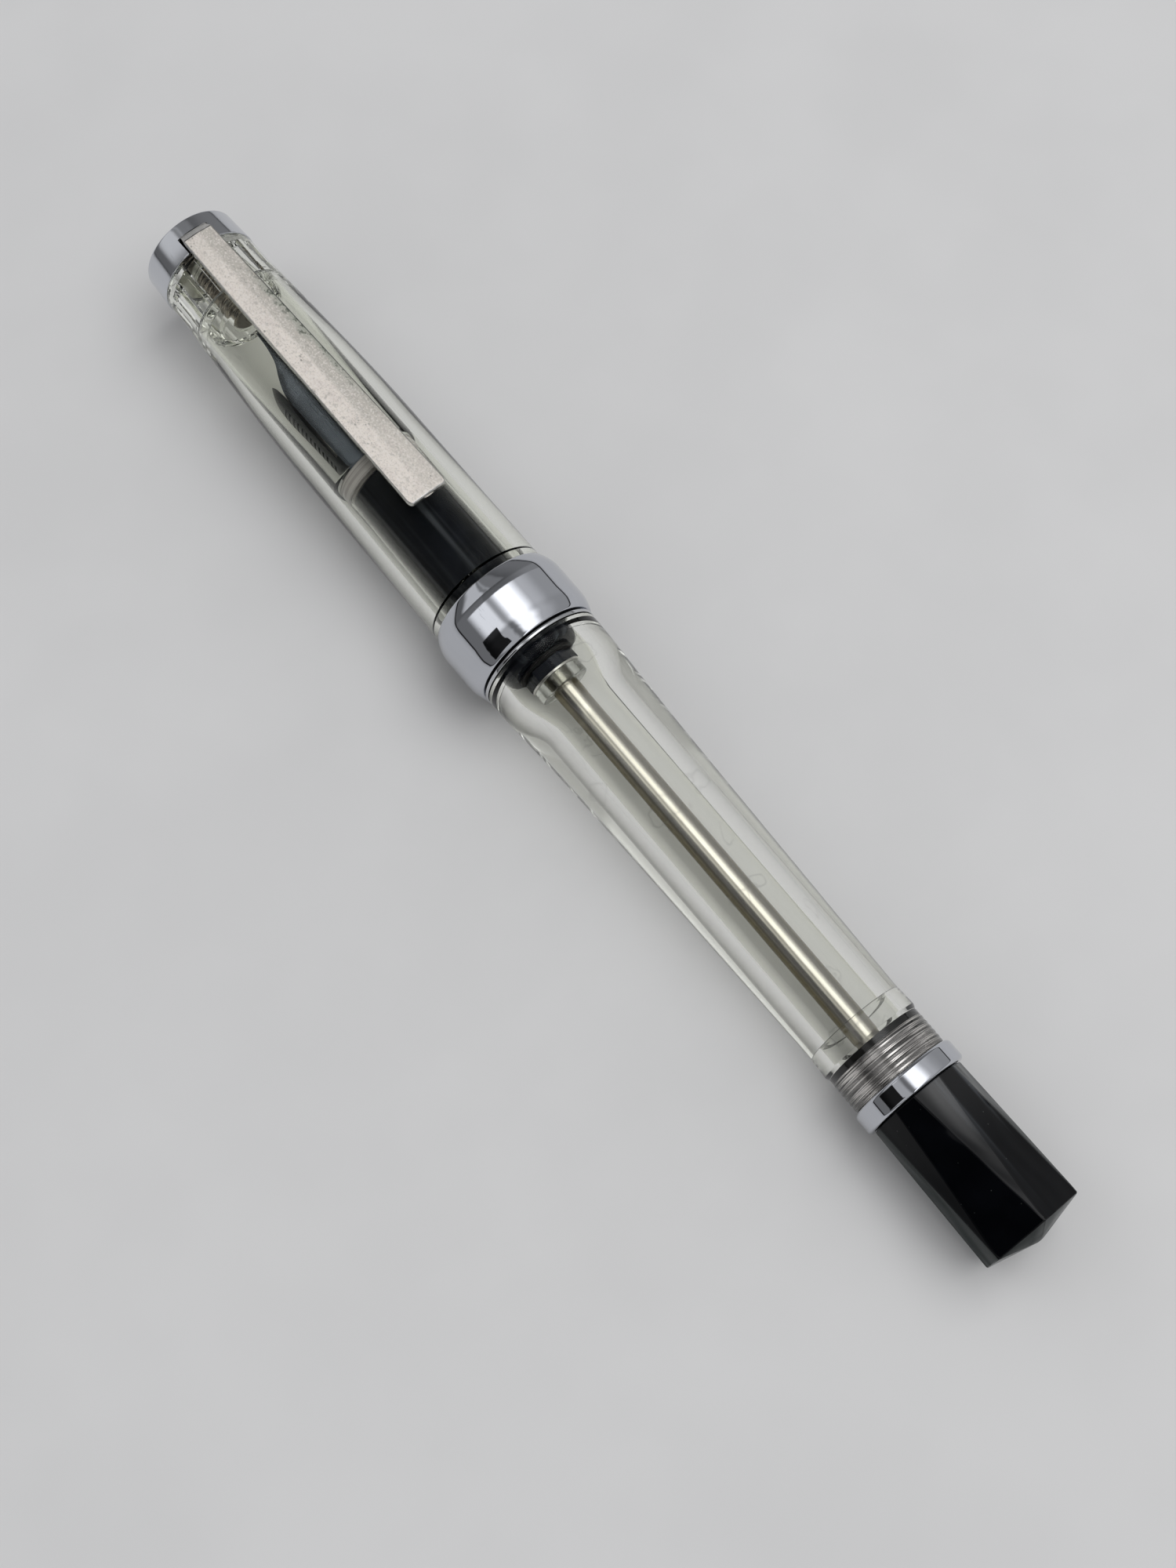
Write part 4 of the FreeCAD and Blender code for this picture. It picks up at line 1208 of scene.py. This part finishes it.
# ---- light: soft panels for the table, a painted room for the reflections -------------------
def panel(name, right, up, distance, size, energy, colour, height=None):
    """Area light placed from the origin by the camera's directions; sizes in metres."""
    light = bpy.data.lights.new(name, "AREA")
    light.energy, light.color = energy, colour
    light.shape = "RECTANGLE" if height else "SQUARE"
    light.size = size
    if height:
        light.size_y = height
    item = bpy.data.objects.new(name, light)
    scene.collection.objects.link(item)
    location = (-view + camera_right * right + camera_up * up).normalized() * distance
    item.location = location
    target = Vector((0.02, 0, 0))
    item.rotation_euler = (target - location).to_track_quat("-Z", "Y").to_euler()
    item.visible_camera = item.visible_glossy = item.visible_transmission = False


panel("window", right=0.42, up=0.42, distance=0.85, size=0.90, height=0.55, energy=3.5,
      colour=(1.0, 0.998, 0.992))
panel("fill", right=-0.9, up=0.5, distance=0.8, size=0.35, energy=0.35, colour=(0.97, 0.98, 1.0))


def room_level(graph):
    """Brightness of the room by direction.

    turn: degrees about the pen's axis from the camera's side. along: component along the pen.
    """
    turn = graph.math("ARCTAN2", graph.dot(graph.position, tuple(sideways)),
                      graph.dot(graph.position, tuple(to_camera)))
    turn = graph.times(turn, 180 / math.pi)
    along = graph.separate()[0]
    up = graph.separate()[2]
    soft = graph.noise(graph.position, scale=2.2, detail=1.0)
    turn = graph.plus(turn, graph.times(graph.minus(soft, 0.5), 20.0))

    # Bright part on the negative side, dipping where it faces the camera.
    ends = graph.plus(graph.span(along, -0.385, -0.362), graph.span(along, -0.535, -0.515, 0.8, 0.0))
    reach = graph.times(graph.span(along, -0.30, -0.16, 1.0, 0.35), ends)
    bright = graph.plus(0.20, graph.times(graph.span(turn, -54, -34, 0.0, 0.95), reach))
    dip = graph.band(turn, rise=(-9, -1), fall=(1, 8))
    room = graph.times(bright, graph.minus(1.0, graph.times(dip, 0.60)))

    # Lamp on the positive side, fading to dim walls beyond it.
    lamp = graph.times(graph.span(turn, 4, 14, 0.0, 1.6), graph.span(along, -0.385, -0.360))
    room = graph.plus(graph.times(room, graph.span(turn, 0, 12, 1.0, 0.35)), lamp)
    room = graph.times(room, graph.span(turn, 30, 50, 1.0, 0.34))
    room = graph.times(room, graph.span(turn, 52, 84, 1.0, 0.62))
    room = graph.math("MAXIMUM", room, graph.span(turn, 30, 84, 0.16, 0.30))
    room = graph.times(room, graph.span(along, -0.50, -0.44, 0.72, 1.0))

    # Dark slab beside the camera, dark line at the horizon, grey below it.
    slab = graph.times(graph.band(turn, rise=(-58, -56), fall=(-20, -18)),
                       graph.band(along, rise=(-0.345, -0.330), fall=(0.40, 0.42)))
    room = graph.times(room, graph.minus(1.0, graph.times(slab, 0.97)))
    room = graph.times(room, graph.span(up, 0.03, 0.06, 0.10, 1.0))
    below = graph.span(up, -0.01, 0.0, 1.0, 0.0)
    room = graph.plus(room, graph.times(below, 0.5))
    return room, graph.span(up, -0.1, 0.75, 0.28, 0.44)


def build_world():
    """Reflections see the room; diffuse light and the camera see plainer levels."""
    world = bpy.data.worlds.new("studio")
    scene.world = world
    graph = Graph(world, "Generated")
    world.cycles.sampling_method = "NONE"
    room, plain = room_level(graph)
    rays = graph.add("LightPath").outputs

    def blend(factor, base, over):
        return graph.plus(graph.times(base, graph.minus(1.0, factor)), graph.times(over, factor))

    level = blend(rays["Is Diffuse Ray"], room, plain)
    level = blend(rays["Is Camera Ray"], level, 0.58)
    background = graph.add("Background", {0: (0.985, 0.99, 1.0), 1: level})
    graph.finish(background, "OutputWorld")


build_world()

# ---- render ---------------------------------------------------------------------------------
scene.view_settings.view_transform = "Standard"
scene.view_settings.look = "None"
cycles = scene.cycles
cycles.max_bounces = 28
cycles.transmission_bounces = 24
cycles.glossy_bounces = 10
cycles.diffuse_bounces = 4
cycles.transparent_max_bounces = 24
cycles.caustics_refractive = True
cycles.caustics_reflective = False
cycles.use_denoising = True
cycles.sample_clamp_indirect = 6.0
